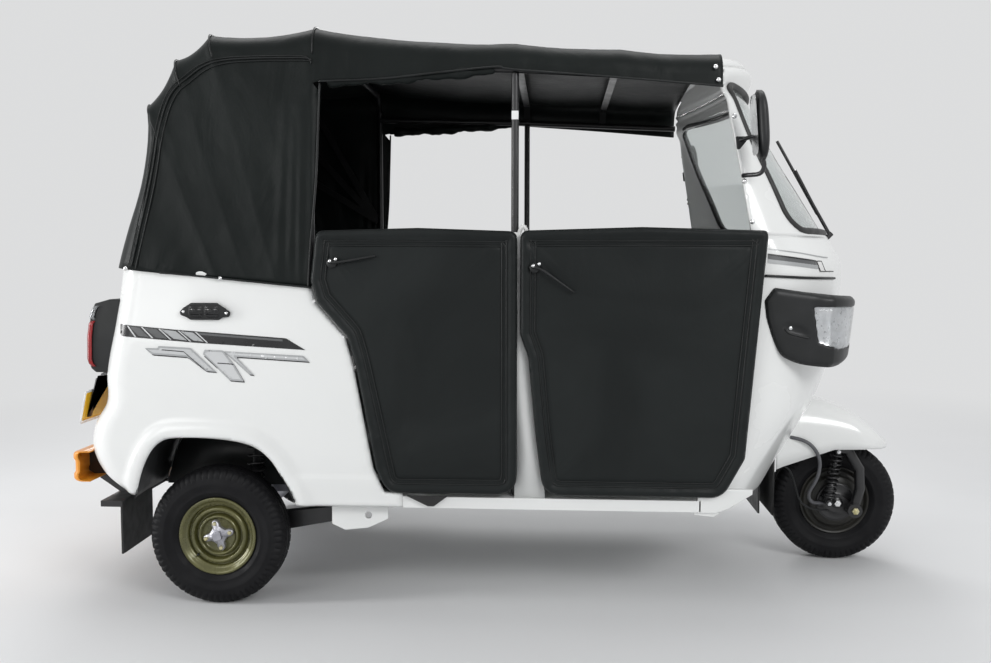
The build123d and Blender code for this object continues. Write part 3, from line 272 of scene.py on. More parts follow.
white_paint = finish("white_paint", (0.785, 0.795, 0.785), (0.81, 0.82, 0.81), 2.0, (0.20, 0.28),
                     [(240.0, 0.00008, 0.10)], coat=0.5, coat_rough=0.06)
black_vinyl = vinyl_material("black_vinyl", (0.0055, 0.0075, 0.0072), (0.0090, 0.0115, 0.0110), 0.35, 0.26)
door_vinyl = vinyl_material("door_vinyl", (0.0105, 0.0125, 0.0125), (0.0145, 0.0170, 0.0170), 0.30, 0.16)
seat_vinyl = vinyl_material("seat_vinyl", (0.012, 0.012, 0.013), (0.019, 0.019, 0.020), 0.40, 0.22)
piping_vinyl = finish("piping_vinyl", (0.006, 0.007, 0.007), (0.012, 0.014, 0.014), 9.0, (0.30, 0.42),
                      [(420.0, 0.0003, 0.4)], specular=0.28)
black_paint = finish("black_paint", (0.008, 0.008, 0.009), (0.015, 0.015, 0.016), 8.0, (0.28, 0.44),
                     [(150.0, 0.0002, 0.3)], coat=0.15)
black_plastic = finish("black_plastic", (0.010, 0.011, 0.011), (0.016, 0.017, 0.018), 9.0, (0.34, 0.46),
                       [(520.0, 0.0003, 0.4)], specular=0.32)
seal_rubber = finish("seal_rubber", (0.008, 0.008, 0.008), (0.015, 0.015, 0.015), 12.0, (0.45, 0.62),
                     [(300.0, 0.0002, 0.3)])
tyre_rubber = finish("tyre_rubber", (0.006, 0.006, 0.007), (0.011, 0.011, 0.012), 12.0, (0.46, 0.66),
                     [(90.0, 0.0005, 0.3), (600.0, 0.0002, 0.4)], specular=0.16)
olive_paint = finish("olive_paint", (0.085, 0.083, 0.026), (0.125, 0.12, 0.040), 14.0, (0.22, 0.34),
                     [(260.0, 0.0002, 0.25)], metallic=0.35, coat=0.5, coat_rough=0.12)
# Painted shade: near-black paint for the front rim, which darkens it to stand for the shadow it sits in under
# the mudguard and nose. The rear rims keep the olive paint.
dark_rim = finish("dark_rim", (0.010, 0.010, 0.009), (0.020, 0.019, 0.015), 14.0, (0.35, 0.5),
                  [(260.0, 0.0003, 0.3)], metallic=0.2)
cast_metal = finish("cast_metal", (0.34, 0.34, 0.38), (0.48, 0.48, 0.52), 20.0, (0.34, 0.5),
                    [(420.0, 0.0005, 0.4)], metallic=0.8)
bright_metal = finish("bright_metal", (0.62, 0.63, 0.64), (0.78, 0.78, 0.78), 30.0, (0.14, 0.26),
                      [(700.0, 0.0001, 0.2)], metallic=1.0)
reflector = finish("reflector", (0.86, 0.87, 0.88), (0.93, 0.93, 0.93), 30.0, (0.25, 0.35),
                   [(60.0, 0.0008, 0.3)], metallic=0.6)
zinc = finish("zinc", (0.50, 0.46, 0.24), (0.66, 0.62, 0.42), 60.0, (0.25, 0.4), [(500.0, 0.0002, 0.3)],
              metallic=0.8)
orange_paint = finish("orange_paint", (0.74, 0.27, 0.018), (0.80, 0.32, 0.026), 5.0, (0.26, 0.38),
                      [(200.0, 0.0003, 0.2)], coat=0.3)
yellow_sheet = finish("yellow_sheet", (0.66, 0.34, 0.012), (0.74, 0.42, 0.02), 12.0, (0.3, 0.42),
                      [(260.0, 0.0002, 0.25)])
white_sheet = finish("white_sheet", (0.74, 0.74, 0.73), (0.82, 0.82, 0.81), 12.0, (0.3, 0.42),
                     [(260.0, 0.0002, 0.2)])
grey_film = finish("grey_film", (0.34, 0.35, 0.355), (0.42, 0.43, 0.435), 5.0, (0.26, 0.36),
                   [(200.0, 0.0001, 0.1)], metallic=0.2)
pale_film = finish("pale_film", (0.50, 0.51, 0.515), (0.60, 0.61, 0.615), 5.0, (0.26, 0.36),
                   [(200.0, 0.0001, 0.1)], metallic=0.2)
slate_film = finish("slate_film", (0.075, 0.078, 0.08), (0.11, 0.114, 0.116), 5.0, (0.26, 0.36),
                    [(200.0, 0.0001, 0.1)])
dark_film = finish("dark_film", (0.007, 0.007, 0.008), (0.013, 0.013, 0.014), 9.0, (0.22, 0.32),
                   [(200.0, 0.0001, 0.1)])
hose_grey = finish("hose_grey", (0.085, 0.087, 0.095), (0.12, 0.122, 0.13), 20.0, (0.35, 0.5),
                   [(400.0, 0.0004, 0.4)])
clear_glass = glass_material()
red_lens = lens_material("red_lens", (0.34, 0.006, 0.009), 60.0)
clear_lens = lens_material("clear_lens", (0.86, 0.88, 0.90), 80.0)
window_film = finish("window_film", (0.20, 0.21, 0.21), (0.30, 0.31, 0.31), 4.0, (0.12, 0.3),
                     [(16.0, 0.004, 0.4)])

NODE_FINISH = {
    white_paint: ("front_cowl", "windscreen_frame", "front_fender", "rear_side_left", "rear_side_right",
                  "rear_panel", "engine_lid", "floor_pan", "sill_brackets"),
    black_vinyl: ("canopy",),
    door_vinyl: ("front_door_left", "front_door_right", "rear_door_left", "rear_door_right"),
    seat_vinyl: ("passenger_seat", "driver_seat"),
    black_paint: ("chassis_frame", "trailing_arms", "bumper_brackets", "canopy_frame", "steering_column",
                  "front_swing_arm", "rear_dampers", "front_damper", "driver_seat_stand", "seat_box", "wiper",
                  "handlebar", "door_hinges", "centre_pillars"),
    clear_glass: ("windscreen_glass",),
    seal_rubber: ("windscreen_seal", "mudflaps", "step_pads"),
    tyre_rubber: ("front_tyre", "rear_left_tyre", "rear_right_tyre"),
    olive_paint: ("front_rim", "rear_left_rim", "rear_right_rim"),
    cast_metal: ("engine", "drive_shafts"),
    black_plastic: ("headlamp_pods", "tail_lamps", "mirrors", "side_vents", "dashboard"),
    orange_paint: ("rear_bumper",),
    yellow_sheet: ("number_plate",),
}


def dress_nodes():
    for material, names in NODE_FINISH.items():
        for name in names:
            obj = bpy.data.objects[name]
            obj.data.materials.clear()
            obj.data.materials.append(material)
    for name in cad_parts:
        if not any(name in names for names in NODE_FINISH.values()):
            print("no finish for", name)


# ---------------------------------------------------------------- mesh helpers
def piece(name, points, faces, material, body=None, replaces=(), shell=0.0, smooth=True, scale=MM,
          away=(0.0, 0.0, 700.0)):
    """A mesh object from points in millimetres, its faces turned outward. An open sheet
    may get a shell on its inner side, which is the side towards the point away."""
    mesh = bpy.data.meshes.new(name)
    mesh.from_pydata((np.asarray(points, dtype=float) * scale).tolist(), [], [tuple(f) for f in faces])
    mesh.validate()
    work = bmesh.new()
    work.from_mesh(mesh)
    bmesh.ops.remove_doubles(work, verts=work.verts, dist=1e-6)
    bmesh.ops.recalc_face_normals(work, faces=work.faces)
    if shell:
        origin = Vector(away) * scale
        work.normal_update()
        facing = sum(f.normal.dot(f.calc_center_median() - origin) * f.calc_area() for f in work.faces)
        if facing < 0:
            bmesh.ops.reverse_faces(work, faces=work.faces)
    work.to_mesh(mesh)
    work.free()
    mesh.materials.append(material)
    mesh.polygons.foreach_set("use_smooth", [smooth] * len(mesh.polygons))
    obj = bpy.data.objects.new(name, mesh)
    bpy.context.scene.collection.objects.link(obj)
    if shell:
        solid = obj.modifiers.new("shell", "SOLIDIFY")
        solid.thickness = shell * MM
        solid.offset = -1
    if body:
        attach(obj, body)
    if replaces:
        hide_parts(*replaces)
    return obj


def join_shapes(shapes):
    """Several (points, faces) as one."""
    points, faces = [], []
    for some_points, some_faces in shapes:
        start = len(points)
        points += [tuple(p) for p in some_points]
        faces += [tuple(i + start for i in f) for f in some_faces]
    return points, faces


def mirrored(shape):
    """The shape's mirror image across the centre plane."""
    points, faces = shape
    return [(x, -y, z) for x, y, z in points], [tuple(reversed(f)) for f in faces]


def stud(name, profile, x, y, z, sign, segments=16):
    """A small bright head turned to this profile, which stands out of a flank y from the middle."""
    points, faces = lathe(profile, (0, 0, 0), "Y", segments)
    piece(name, [(x + a, sign * (y + abs(b)), z + c) for a, b, c in points], faces, bright_metal, "body")


def grid_faces(rows, columns, wrap=False):
    faces = []
    for i in range(rows - 1):
        for j in range(columns if wrap else columns - 1):
            k = (j + 1) % columns
            faces.append((i * columns + j, i * columns + k, (i + 1) * columns + k, (i + 1) * columns + j))
    return faces


def smooth_line(points, step=6.0, closed=False):
    """A Catmull-Rom curve through the points, sampled about every step."""
    pts = [Vector(p) for p in points]
    out = []
    n = len(pts)
    for i in range(n if closed else n - 1):
        p0 = pts[(i - 1) % n] if closed or i else pts[0] * 2 - pts[1]
        p1, p2 = pts[i], pts[(i + 1) % n]
        p3 = pts[(i + 2) % n] if closed or i + 2 < n else p2 * 2 - p1
        count = max(1, round((p2 - p1).length / step))
        for k in range(count):
            t = k / count
            out.append(0.5 * (2 * p1 + (p2 - p0) * t + (2 * p0 - 5 * p1 + 4 * p2 - p3) * t * t
                              + (3 * p1 - p0 - 3 * p2 + p3) * t ** 3))
    if not closed:
        out.append(pts[-1])
    return out


def tube(points, radius, sides=10, closed=False, step=6.0, flat=1.0):
    """A round tube along a smooth line; radius may be a function of the way along it."""
    line = smooth_line(points, step, closed)
    n = len(line)
    rings, up = [], Vector((0.13, 0.21, 1.0))
    for i, p in enumerate(line):
        ahead = line[(i + 1) % n] if closed or i + 1 < n else p
        behind = line[i - 1] if closed or i else p
        along = (ahead - behind).normalized()
        side = along.cross(up)
        if side.length < 0.05:
            side = along.cross(Vector((1, 0.1, 0)))
        side.normalize()
        up = side.cross(along).normalized()
        r = radius(i / (n - 1)) if callable(radius) else radius
        rings += [p + side * (r * cos(2 * pi * k / sides)) + up * (r * flat * sin(2 * pi * k / sides))
                  for k in range(sides)]
    faces = grid_faces(n, sides, wrap=True)
    if closed:
        faces += [((n - 1) * sides + j, (n - 1) * sides + (j + 1) % sides, (j + 1) % sides,
                   j) for j in range(sides)]
    else:
        faces += [tuple(range(sides - 1, -1, -1)), tuple((n - 1) * sides + j for j in range(sides))]
    return [tuple(p) for p in rings], faces


def lathe(profile, centre, axis="Y", segments=64, shape=None, caps=True):
    """A turned form about an axis through the centre. The profile is (radius, along);
    shape may move each point: shape(radius, along, angle) gives a new radius and along."""
    points = []
    for r, a in profile:
        for k in range(segments):
            turn = 2 * pi * k / segments
            rr, aa = shape(r, a, turn) if shape else (r, a)
            u, v = rr * cos(turn), rr * sin(turn)
            local = {"Y": (u, aa, v), "X": (aa, u, v), "Z": (u, v, aa)}[axis]
            points.append(tuple(c + d for c, d in zip(centre, local)))
    faces = grid_faces(len(profile), segments, wrap=True)
    if caps and profile[0][0] > 0.01:
        faces.append(tuple(range(segments - 1, -1, -1)))
    if caps and profile[-1][0] > 0.01:
        last = (len(profile) - 1) * segments
        faces.append(tuple(last + k for k in range(segments)))
    return points, faces


def slab(outline, plane, low, high, edge=0.0, arc=4):
    """A flat piece with its outline in a plane (XZ, YZ or XY), its far edges rounded off."""
    outline = np.array(outline, dtype=float)
    steps = [(0.0, low)]
    if edge:
        sign = np.sign(high - low)
        steps += [(edge * (1 - cos(pi / 2 * k / arc)), high - sign * edge * (1 - sin(pi / 2 * k / arc)))
                  for k in range(arc + 1)]
    else:
        steps.append((0.0, high))
    points = []
    for inset, level in steps:
        for u, v in inset_polygon(outline, inset):
            points.append({"XZ": (u, level, v), "YZ": (level, u, v), "XY": (u, v, level)}[plane])
    n = len(outline)
    faces = grid_faces(len(steps), n, wrap=True)
    faces.append(tuple(range(n - 1, -1, -1)))
    faces.append(tuple((len(steps) - 1) * n + k for k in range(n)))
    return points, faces


def inset_polygon(outline, inset):
    """The outline with each edge moved inward by the same amount."""
    pts = np.asarray(outline, dtype=float)
    if not inset:
        return pts
    nxt, prv = np.roll(pts, -1, axis=0), np.roll(pts, 1, axis=0)
    turn = np.sign(np.sum(pts[:, 0] * nxt[:, 1] - nxt[:, 0] * pts[:, 1]))
    def inward(a, b):
        d = b - a
        d /= np.maximum(np.linalg.norm(d, axis=1), 1e-9)[:, None]
        return np.stack([-d[:, 1], d[:, 0]], axis=1) * turn
    a, b = inward(prv, pts), inward(pts, nxt)
    mid = a + b
    scale = 2.0 / np.maximum(np.sum(mid * mid, axis=1), 0.6)
    return pts + mid * scale[:, None] * inset


def round_corners(outline, radius, steps=6, only=None):
    """The closed outline with its corners cut by arcs."""
    pts = [Vector(p) for p in outline]
    out = []
    for i, p in enumerate(pts):
        a, b = pts[i - 1] - p, pts[(i + 1) % len(pts)] - p
        if (only is not None and i not in only) or a.angle(b) > 2.9:
            out.append(tuple(p))
            continue
        cut = min(radius / tan(a.angle(b) / 2), a.length * 0.48, b.length * 0.48)
        start, end = p + a.normalized() * cut, p + b.normalized() * cut
        for k in range(steps + 1):
            t = k / steps
            out.append(tuple(start * (1 - t) ** 2 + p * (2 * t * (1 - t)) + end * t * t))
    return out


def edge_distance(points, loops):
    """Distance from each point to the nearest edge of the loops, and that nearest point."""
    best = np.full(len(points), 1e9)
    nearest = np.zeros_like(points)
    for loop in loops:
        loop = np.asarray(loop, dtype=float)
        for a, b in zip(loop, np.roll(loop, -1, axis=0)):
            d = b - a
            along = (points[:, 0] - a[0]) * d[0] + (points[:, 1] - a[1]) * d[1]
            t = np.clip(along / max(d[0] * d[0] + d[1] * d[1], 1e-9), 0, 1)
            foot = a + t[:, None] * d
            gap = np.linalg.norm(points - foot, axis=1)
            closer = gap < best
            best[closer] = gap[closer]
            nearest[closer] = foot[closer]
    return best, nearest


def inside(points, loops):
    within = np.zeros(len(points), dtype=bool)
    for loop in loops:
        loop = np.asarray(loop, dtype=float)
        for a, b in zip(loop, np.roll(loop, -1, axis=0)):
            if a[1] == b[1]:
                continue
            crosses = (a[1] > points[:, 1]) != (b[1] > points[:, 1])
            at = a[0] + (points[:, 1] - a[1]) * (b[0] - a[0]) / (b[1] - a[1])
            within ^= crosses & (points[:, 0] < at)
    return within


def trimmed_grid(loops, cell):
    """A square grid trimmed to the loops: flat points, faces and each point's distance
    from the edge. Points near an edge are moved onto it."""
    every = np.concatenate([np.asarray(loop, dtype=float) for loop in loops])
    low, high = every.min(axis=0) - cell, every.max(axis=0) + cell
    us, vs = np.arange(low[0], high[0] + cell, cell), np.arange(low[1], high[1] + cell, cell)
    grid = np.stack(np.meshgrid(us, vs, indexing="ij"), axis=-1).reshape(-1, 2)
    gap, nearest = edge_distance(grid, loops)
    snapped = gap < 0.56 * cell
    good = inside(grid, loops) | snapped
    grid[snapped] = nearest[snapped]
    gap[snapped] = 0.0
    columns = len(vs)
    faces = []
    for i in range(len(us) - 1):
        for j in range(columns - 1):
            quad = (i * columns + j, (i + 1) * columns + j, (i + 1) * columns + j + 1, i * columns + j + 1)
            kept = tuple(k for k in quad if good[k])
            if len(kept) > 2:
                faces.append(kept)
    centres = np.array([grid[list(f)].mean(axis=0) for f in faces])
    within = inside(centres, loops)
    faces = [f for f, ok in zip(faces, within) if ok]
    used = sorted({k for f in faces for k in f})
    renumber = {k: n for n, k in enumerate(used)}
    return grid[used], [tuple(renumber[k] for k in f) for f in faces], gap[used]


def table_at(table, z):
    """Each column of the table at the heights z, by a smooth curve through its rows."""
    rows = np.array(table, dtype=float)
    heights = rows[:, 0]
    slopes = np.gradient(rows[:, 1:], heights, axis=0)
    z = np.clip(np.asarray(z, dtype=float), heights[0], heights[-1])
    i = np.clip(np.searchsorted(heights, z) - 1, 0, len(heights) - 2)
    span = heights[i + 1] - heights[i]
    t = ((z - heights[i]) / span)[..., None]
    span = span[..., None]
    return ((1 + 2 * t) * (1 - t) ** 2 * rows[i, 1:] + t * (1 - t) ** 2 * span * slopes[i]
            + t * t * (3 - 2 * t) * rows[i + 1, 1:] + t * t * (t - 1) * span * slopes[i + 1])


def ease(value, low, high):
    t = np.clip((value - low) / (high - low), 0, 1)
    return t * t * (3 - 2 * t)


def wrinkle(x, z, scale, seed=0.0):
    """Smooth noise between -1 and 1 over a flat domain, the same on each run."""
    return np.array([noise.noise(Vector((a * scale, b * scale, seed)))
                     for a, b in zip(np.ravel(x), np.ravel(z))])


# ---------------------------------------------------------------- rear body
# height, rearmost x, half width
TUB = ((332, -1156, 640), (385, -1219, 646), (437, -1250, 650), (548, -1250, 650), (606, -1216, 650),
       (694, -1212, 649), (857, -1181, 645), (945, -1170, 633), (1030, -1160, 629))
TUB_CORNER = 90.0
CORNER_RUN = TUB_CORNER * pi / 2
REAR_HALF = 440.0
ARCH = [tuple(p) for p in smooth_line(((-1119, 270), (-1097, 352), (-1075, 422), (-1048, 474), (-1018, 503),
                                       (-977, 514), (-873, 514), (-790, 505), (-733, 487), (-690, 450),
                                       (-660, 400), (-633, 345),
                                       (-600, 270)), 14.0)]
LID_HALF, LID_LOW, LID_HIGH, LID_GAP = 288.0, 560.0, 960.0, 5.0
REAR_DOOR_EDGE = ((-548, 1130), (-565, 980), (-547, 918), (-459, 818), (-435, 733), (-378, 430), (-345, 357))
DOOR_GAP = 8.0


def tub_at(u, z):
    """A point of the right rear side from its flat place: u is x along the side and goes
    on round the corner by the way along the skin; points are (x, y, z) with y below 0."""
    rear, half = table_at(TUB, z).T
    start = rear + TUB_CORNER
    beyond = np.clip(start - u, 0, None)
    turn = np.clip(beyond, 0, CORNER_RUN) / TUB_CORNER
    x = np.where(beyond > 0, start - TUB_CORNER * np.sin(turn), u)
    y = half - TUB_CORNER * (1 - np.cos(turn)) - np.clip(beyond - CORNER_RUN, 0, None)
    return x, -y, z


def tub_rear_edge(z):
    rear, half = table_at(TUB, [z])[0]
    return rear + TUB_CORNER - CORNER_RUN - (half - TUB_CORNER - REAR_HALF)


def rear_side(side, sign):
    """Side panel from the rear corner to the door, with the wheel arch and its flare."""
    edge = [(x - DOOR_GAP, z) for x, z in REAR_DOOR_EDGE if z < 1030]
    outline = [(tub_rear_edge(z), z) for z in range(1028, 340, -40)] + [(tub_rear_edge(336), 336)]
    outline += [(-1108, 336)]
    outline += [p for p in ARCH if p[1] > 338]
    outline += [(-626, 320), (-612, 312), (-300, 312), (-300, 357), *edge[::-1], (-568, 1028)]
    flat, faces, gap = trimmed_grid([outline], 8.0)
    x, y, z = tub_at(flat[:, 0], flat[:, 1])
    from_arch, _ = edge_distance(flat, [ARCH])
    flare = 1 - ease(from_arch, 24, 58)
    flare *= 1 - ease(flat[:, 0], -760, -640) * 0.45
    rocker = ease(-z, -406, -398) * ease(flat[:, 0], -640, -590)
    y = y - 13.0 * flare - 4.0 * rocker
    roll = np.clip(1 - gap / 9.0, 0, 1) ** 2 * 5.0
    y = y + roll
    points = np.stack([x, y * -sign, z], axis=1)
    piece(f"rear_side_skin_{side}", points, faces, white_paint, "body", (f"rear_side_{side}",), shell=3.0)
    liner = [(px, pz) for px, pz in ARCH if pz > 318]
    inner = []
    for depth, lift in ((652, 2), (640, 6), (560, 10), (400, 10)):
        inner += [(px, sign * depth, pz + lift) for px, pz in liner]
    piece(f"arch_liner_{side}", inner, grid_faces(4, len(liner)), black_plastic, "body", shell=2.0)
    wall = [(px, sign * 398, pz) for px, pz in liner] + [(px, sign * 398, 318) for px, _ in liner]
    piece(f"arch_wall_{side}", wall, grid_faces(2, len(liner)), black_plastic, "body", shell=2.0)


def rear_skin():
    """Back panel with the opening of the engine lid, and the lid with its pressed ribs."""
    hole = round_corners(((-LID_HALF, LID_LOW), (LID_HALF, LID_LOW), (LID_HALF, LID_HIGH),
                          (-LID_HALF, LID_HIGH)), 22)
    border = ((-REAR_HALF, 334), (REAR_HALF, 334), (REAR_HALF, 1028), (-REAR_HALF, 1028))
    flat, faces, gap = trimmed_grid([border, hole], 10.0)
    from_hole, _ = edge_distance(flat, [hole])
    rear = table_at(TUB, flat[:, 1])[:, 0]
    fold = np.clip(1 - from_hole / 8.0, 0, 1) ** 2 * 4.0
    points = np.stack([rear + fold, flat[:, 0], flat[:, 1]], axis=1)
    piece("rear_skin", points, [tuple(reversed(f)) for f in faces], white_paint, "body", ("rear_panel",),
          shell=3.0)

    lid = inset_polygon(np.array(hole), LID_GAP)
    flat, faces, gap = trimmed_grid([lid], 6.0)
    rear = table_at(TUB, flat[:, 1])[:, 0]
    fold = np.clip(1 - gap / 8.0, 0, 1) ** 2 * 4.0
    pressed = ease(gap, 34, 42) * 5.0
    ribs = np.zeros(len(flat))
    for level in (640, 690, 740, 790, 840):
        rib = np.clip(1 - np.abs(flat[:, 1] - level) / 13.0, 0, 1) * ease(210 - np.abs(flat[:, 0]), 0, 14)
        ribs = np.maximum(ribs, np.sin(rib * pi / 2) * 5.0)
    points = np.stack([rear + fold + pressed - ribs, flat[:, 0], flat[:, 1]], axis=1)
    piece("lid_skin", points, [tuple(reversed(f)) for f in faces], white_paint, "lid", ("engine_lid",),
          shell=3.0)
    piece("lid_handle", *tube([(-1176, -45, 900), (-1192, -40, 900), (-1194, 0, 900), (-1192, 40, 900),
                               (-1176, 45, 900)], 5.0, 10), black_plastic, "lid")


# ---------------------------------------------------------------- side stripes
ZIGZAGS = (
    ((-1063, 780), (-1024, 779), (-1022, 786), (-925, 781), (-850, 711), (-880, 713), (-936, 754),
     (-1041, 761)),
    ((-884, 776), (-828, 774), (-796, 733), (-766, 683), (-809, 686), (-888, 762)),
    ((-826, 772), (-588, 760), (-573, 743), (-790, 756), (-738, 703), (-750, 704)),
)
INNER_LINES = (((-1012, 775), (-946, 770), (-884, 716)), ((-845, 737), (-799, 734)),
               ((-884, 757), (-846, 722)))
SLANTS = ((-1118, -1096), (-1074, -1044), (-1022, -989), (-964, -930))


def on_side(outline, sign, lift, cell=6.0):
    """A thin film on the rear side's skin."""
    flat, faces, _ = trimmed_grid([outline], cell)
    x, y, z = tub_at(flat[:, 0], flat[:, 1])
    points = np.stack([x, -sign * (y - lift), z], axis=1)
    return points.tolist(), faces


def side_strip(line, sign, width, lift):
    """A narrow strip of film along a line on the rear side."""
    dense = [p for a, b in zip(line, line[1:]) for p in np.linspace(a, b, 12)]
    rows = []
    for half in (width / 2, -width / 2):
        x, y, z = tub_at(np.array([p[0] for p in dense]), np.array([p[1] + half for p in dense]))
        rows += [(a, -sign * (b - lift), c) for a, b, c in zip(x, y, z)]
    return rows, grid_faces(2, len(dense))


def side_stripes(side, sign):
    """Striped band and zigzags below it, each shape with a dark shadow edge."""
    def top(x):
        return float(np.interp(x, (-1147, -965, -640), (850, 834, 811)))
    def low(x):
        return float(np.interp(x, (-1147, -919, -583), (815, 797, 777)))
    band = [(-1147, 850), (-965, 834), (-640, 811), (-583, 777), (-919, 797), (-1143, 815)]
    dark = [on_side(band, sign, 1.0)]
    slate, grey, pale = [], [], []
    for k, (a, b) in enumerate(SLANTS):
        end = SLANTS[k + 1] if k + 1 < len(SLANTS) else (-912, -880)
        block = [(a + 9, top(a) - 4), (end[0] - 5, top(end[0]) - 4), (end[1] - 5, low(end[1]) + 5),
                 (b + 14, low(b) + 5)]
        (slate if k < 2 else grey).append(on_side(block, sign, 1.5, 4.0))
    for a, b in (*SLANTS, (-912, -880)):
        slant = [(a, top(a) - 2), (a + 5, top(a) - 2), (b + 8, low(b) + 2), (b + 3, low(b) + 2)]
        pale.append(on_side(slant, sign, 2.0, 2.5))
    slate.append(side_strip(((-902, 823), (-650, 805)), sign, 6.0, 1.6))
    for outline in ZIGZAGS:
        dark.append(on_side([(x + 3, z - 3.5) for x, z in outline], sign, 1.0, 5.0))
        grey.append(on_side(outline, sign, 1.5, 5.0))
        pale.append(on_side(inset_polygon(np.array(outline), 5.0), sign, 1.9, 4.0))
    dark += [side_strip(line, sign, 2.6, 2.4) for line in INNER_LINES]
    for name, shapes, film in (("dark", dark, dark_film), ("slate", slate, slate_film),
                               ("grey", grey, grey_film),
                               ("pale", pale, pale_film)):
        piece(f"stripe_{name}_{side}", *join_shapes(shapes), film, "body")


# ---------------------------------------------------------------- nose
# height, tip x, half width, radius of the front, radius of the corners
NOSE = ((314, 850, 626, 1000, 200), (402, 897, 628, 1000, 200), (500, 955, 628, 1000, 200),
        (600, 1012, 626, 1000, 205), (705, 1054, 624, 900, 210), (820, 1078, 621, 868, 213),
        (925, 1092, 618, 850, 215), (1050, 1086, 614, 850, 215), (1112, 1050, 610, 850, 210))
SCREEN = ((1112, 1050, 610, 850, 210), (1250, 962, 597, 900, 170), (1382, 877, 584, 950, 130),
          (1500, 815, 573, 985, 110), (1578, 778, 566, 1000, 100), (1604, 786, 565, 1000, 100),
          (1626, 792, 562, 1000, 100), (1644, 789, 558, 1000, 100), (1654, 776, 548, 1000, 100))
JAMB = ((250, 576), (357, 576), (472, 638), (1112, 691))
PILLAR = ((1112, 705), (1654, 618))
CAP_FOOT = 1654
COWL_COLUMNS, CAP_COLUMNS = 121, 81


def nose_frame(table, z):
    tip, half, front_r, corner_r = table_at(table, z).T
    front_c = tip - front_r
    corner_y = half - corner_r
    corner_c = front_c + np.sqrt((front_r - corner_r) ** 2 - corner_y ** 2)
    phi = np.arctan2(corner_y, corner_c - front_c)
    return front_c, front_r, corner_c, corner_y, corner_r, phi


def nose_at(table, a, z):
    """The nose's skin at a height: a is the way along the skin from the centre line,
    to the left above 0. Gives x, y, z."""
    front_c, front_r, corner_c, corner_y, corner_r, phi = nose_frame(table, z)
    way = np.abs(a)
    front, corner = front_r * phi, corner_r * (pi / 2 - phi)
    t1 = np.clip(way, 0, front) / front_r
    t2 = phi + np.clip(way - front, 0, corner) / corner_r
    x = np.where(way < front, front_c + front_r * np.cos(t1), corner_c + corner_r * np.cos(t2))
    y = np.where(way < front, front_r * np.sin(t1), corner_y + corner_r * np.sin(t2))
    x = x - np.clip(way - front - corner, 0, None)
    return x, y * np.sign(a + 1e-12), z


def nose_way(table, x, y, z):
    """The way along the skin to the point of the side at x, or of the front at y."""
    _, front_r, corner_c, corner_y, corner_r, phi = (
        v[0] for v in nose_frame(table, np.array([z], dtype=float)))
    front, corner = front_r * phi, corner_r * (pi / 2 - phi)
    if x is not None:
        if x <= corner_c:
            return front + corner + corner_c - x
        return front + corner - corner_r * (pi / 2 - np.arccos(min(1, (x - corner_c) / corner_r)))
    if y < front_r * sin(phi):
        return front_r * np.arcsin(y / front_r)
    return front + corner_r * (np.arcsin(min(1, (y - corner_y) / corner_r)) - phi)


def cowl():
    """Front skin from the leg shields up to the screen."""
    levels = list(range(314, 1112, 14)) + [1112]
    rows = []
    for z in levels:
        rear = float(np.interp(z, *zip(*JAMB)))
        far = float(nose_way(NOSE, rear, None, z))
        ways = np.linspace(-far, far, COWL_COLUMNS)
        x, y, _ = nose_at(NOSE, ways, np.full(len(ways), float(z)))
        fold = 10 * ease(-z, -330, -314)
        rows += [(px - fold, py * (1 - fold * 0.0004), z) for px, py in zip(x, y)]
    piece("cowl_skin", rows, grid_faces(len(levels), COWL_COLUMNS), white_paint, "body", ("front_cowl",),
          shell=3.0)


def xy_on_nose(x, z, sign, lift=0.6):
    """The place on the nose's skin at this x and height, a little outside it."""
    way = float(nose_way(NOSE, x, None, z))
    here = nose_at(NOSE, np.array([way]), np.array([float(z)]))
    ahead = nose_at(NOSE, np.array([way - 2.0]), np.array([float(z)]))
    px, py = float(here[0][0]), float(here[1][0])
    dx, dy = float(ahead[0][0]) - px, float(ahead[1][0]) - py
    length = hypot(dx, dy)
    return px - dy / length * lift, sign * (py + dx / length * lift)


def nose_film(outline, sign, lift, cell=5.0):
    flat, faces, _ = trimmed_grid([outline], cell)
    points = [(*xy_on_nose(x, z, sign, lift), z) for x, z in flat]
    if sign < 0:
        faces = [tuple(reversed(f)) for f in faces]
    return points, faces


def nose_strip(line, sign, width, lift):
    """A narrow strip of film along a line on the nose."""
    dense = [p for a, b in zip(line, line[1:]) for p in np.linspace(a, b, 16)]
    rows = []
    for half in (width / 2, 0.0, -width / 2):
        rows += [(*xy_on_nose(x, z + half, sign, lift), z + half) for x, z in dense]
    return rows, grid_faces(3, len(dense))


def nose_stripes(side, sign):
    """Thin line, shaded band with its parallelogram, and the black moulding under them."""
    box = ((905, 1039), (927, 1039), (942, 1005), (921, 1006))
    inner = inset_polygon(np.array(box, dtype=float), 3.0)
    dark = [nose_strip(((750, 1057), (905, 1038)), sign, 4.5, 1.6), nose_film(box, sign, 1.4, 4.0),
            nose_strip(((938, 1007), (958, 1006)), sign, 3.0, 1.6)]
    piece(f"nose_stripe_dark_{side}", *join_shapes(dark), dark_film, "body")
    piece(f"nose_stripe_slate_{side}", *nose_strip(((750, 1049), (908, 1031)), sign, 11.0, 1.4), slate_film,
          "body")
    grey = [nose_strip(((750, 1038), (914, 1020)), sign, 11.0, 1.4),
            nose_strip(((750, 1073), (850, 1061), (943, 1048)), sign, 3.0, 1.4)]
    piece(f"nose_stripe_grey_{side}", *join_shapes(grey), grey_film, "body")
    piece(f"nose_stripe_white_{side}", *nose_film(inner, sign, 2.0, 3.0), white_sheet, "body")
    moulding = [(*xy_on_nose(x, z, sign, 3.0), z)
                for x, z in ((742, 996), (800, 993), (860, 990), (915, 988), (975, 985))]
    piece(f"cowl_moulding_{side}", *tube(moulding, 6.5, 10, flat=0.6), black_plastic, "body")


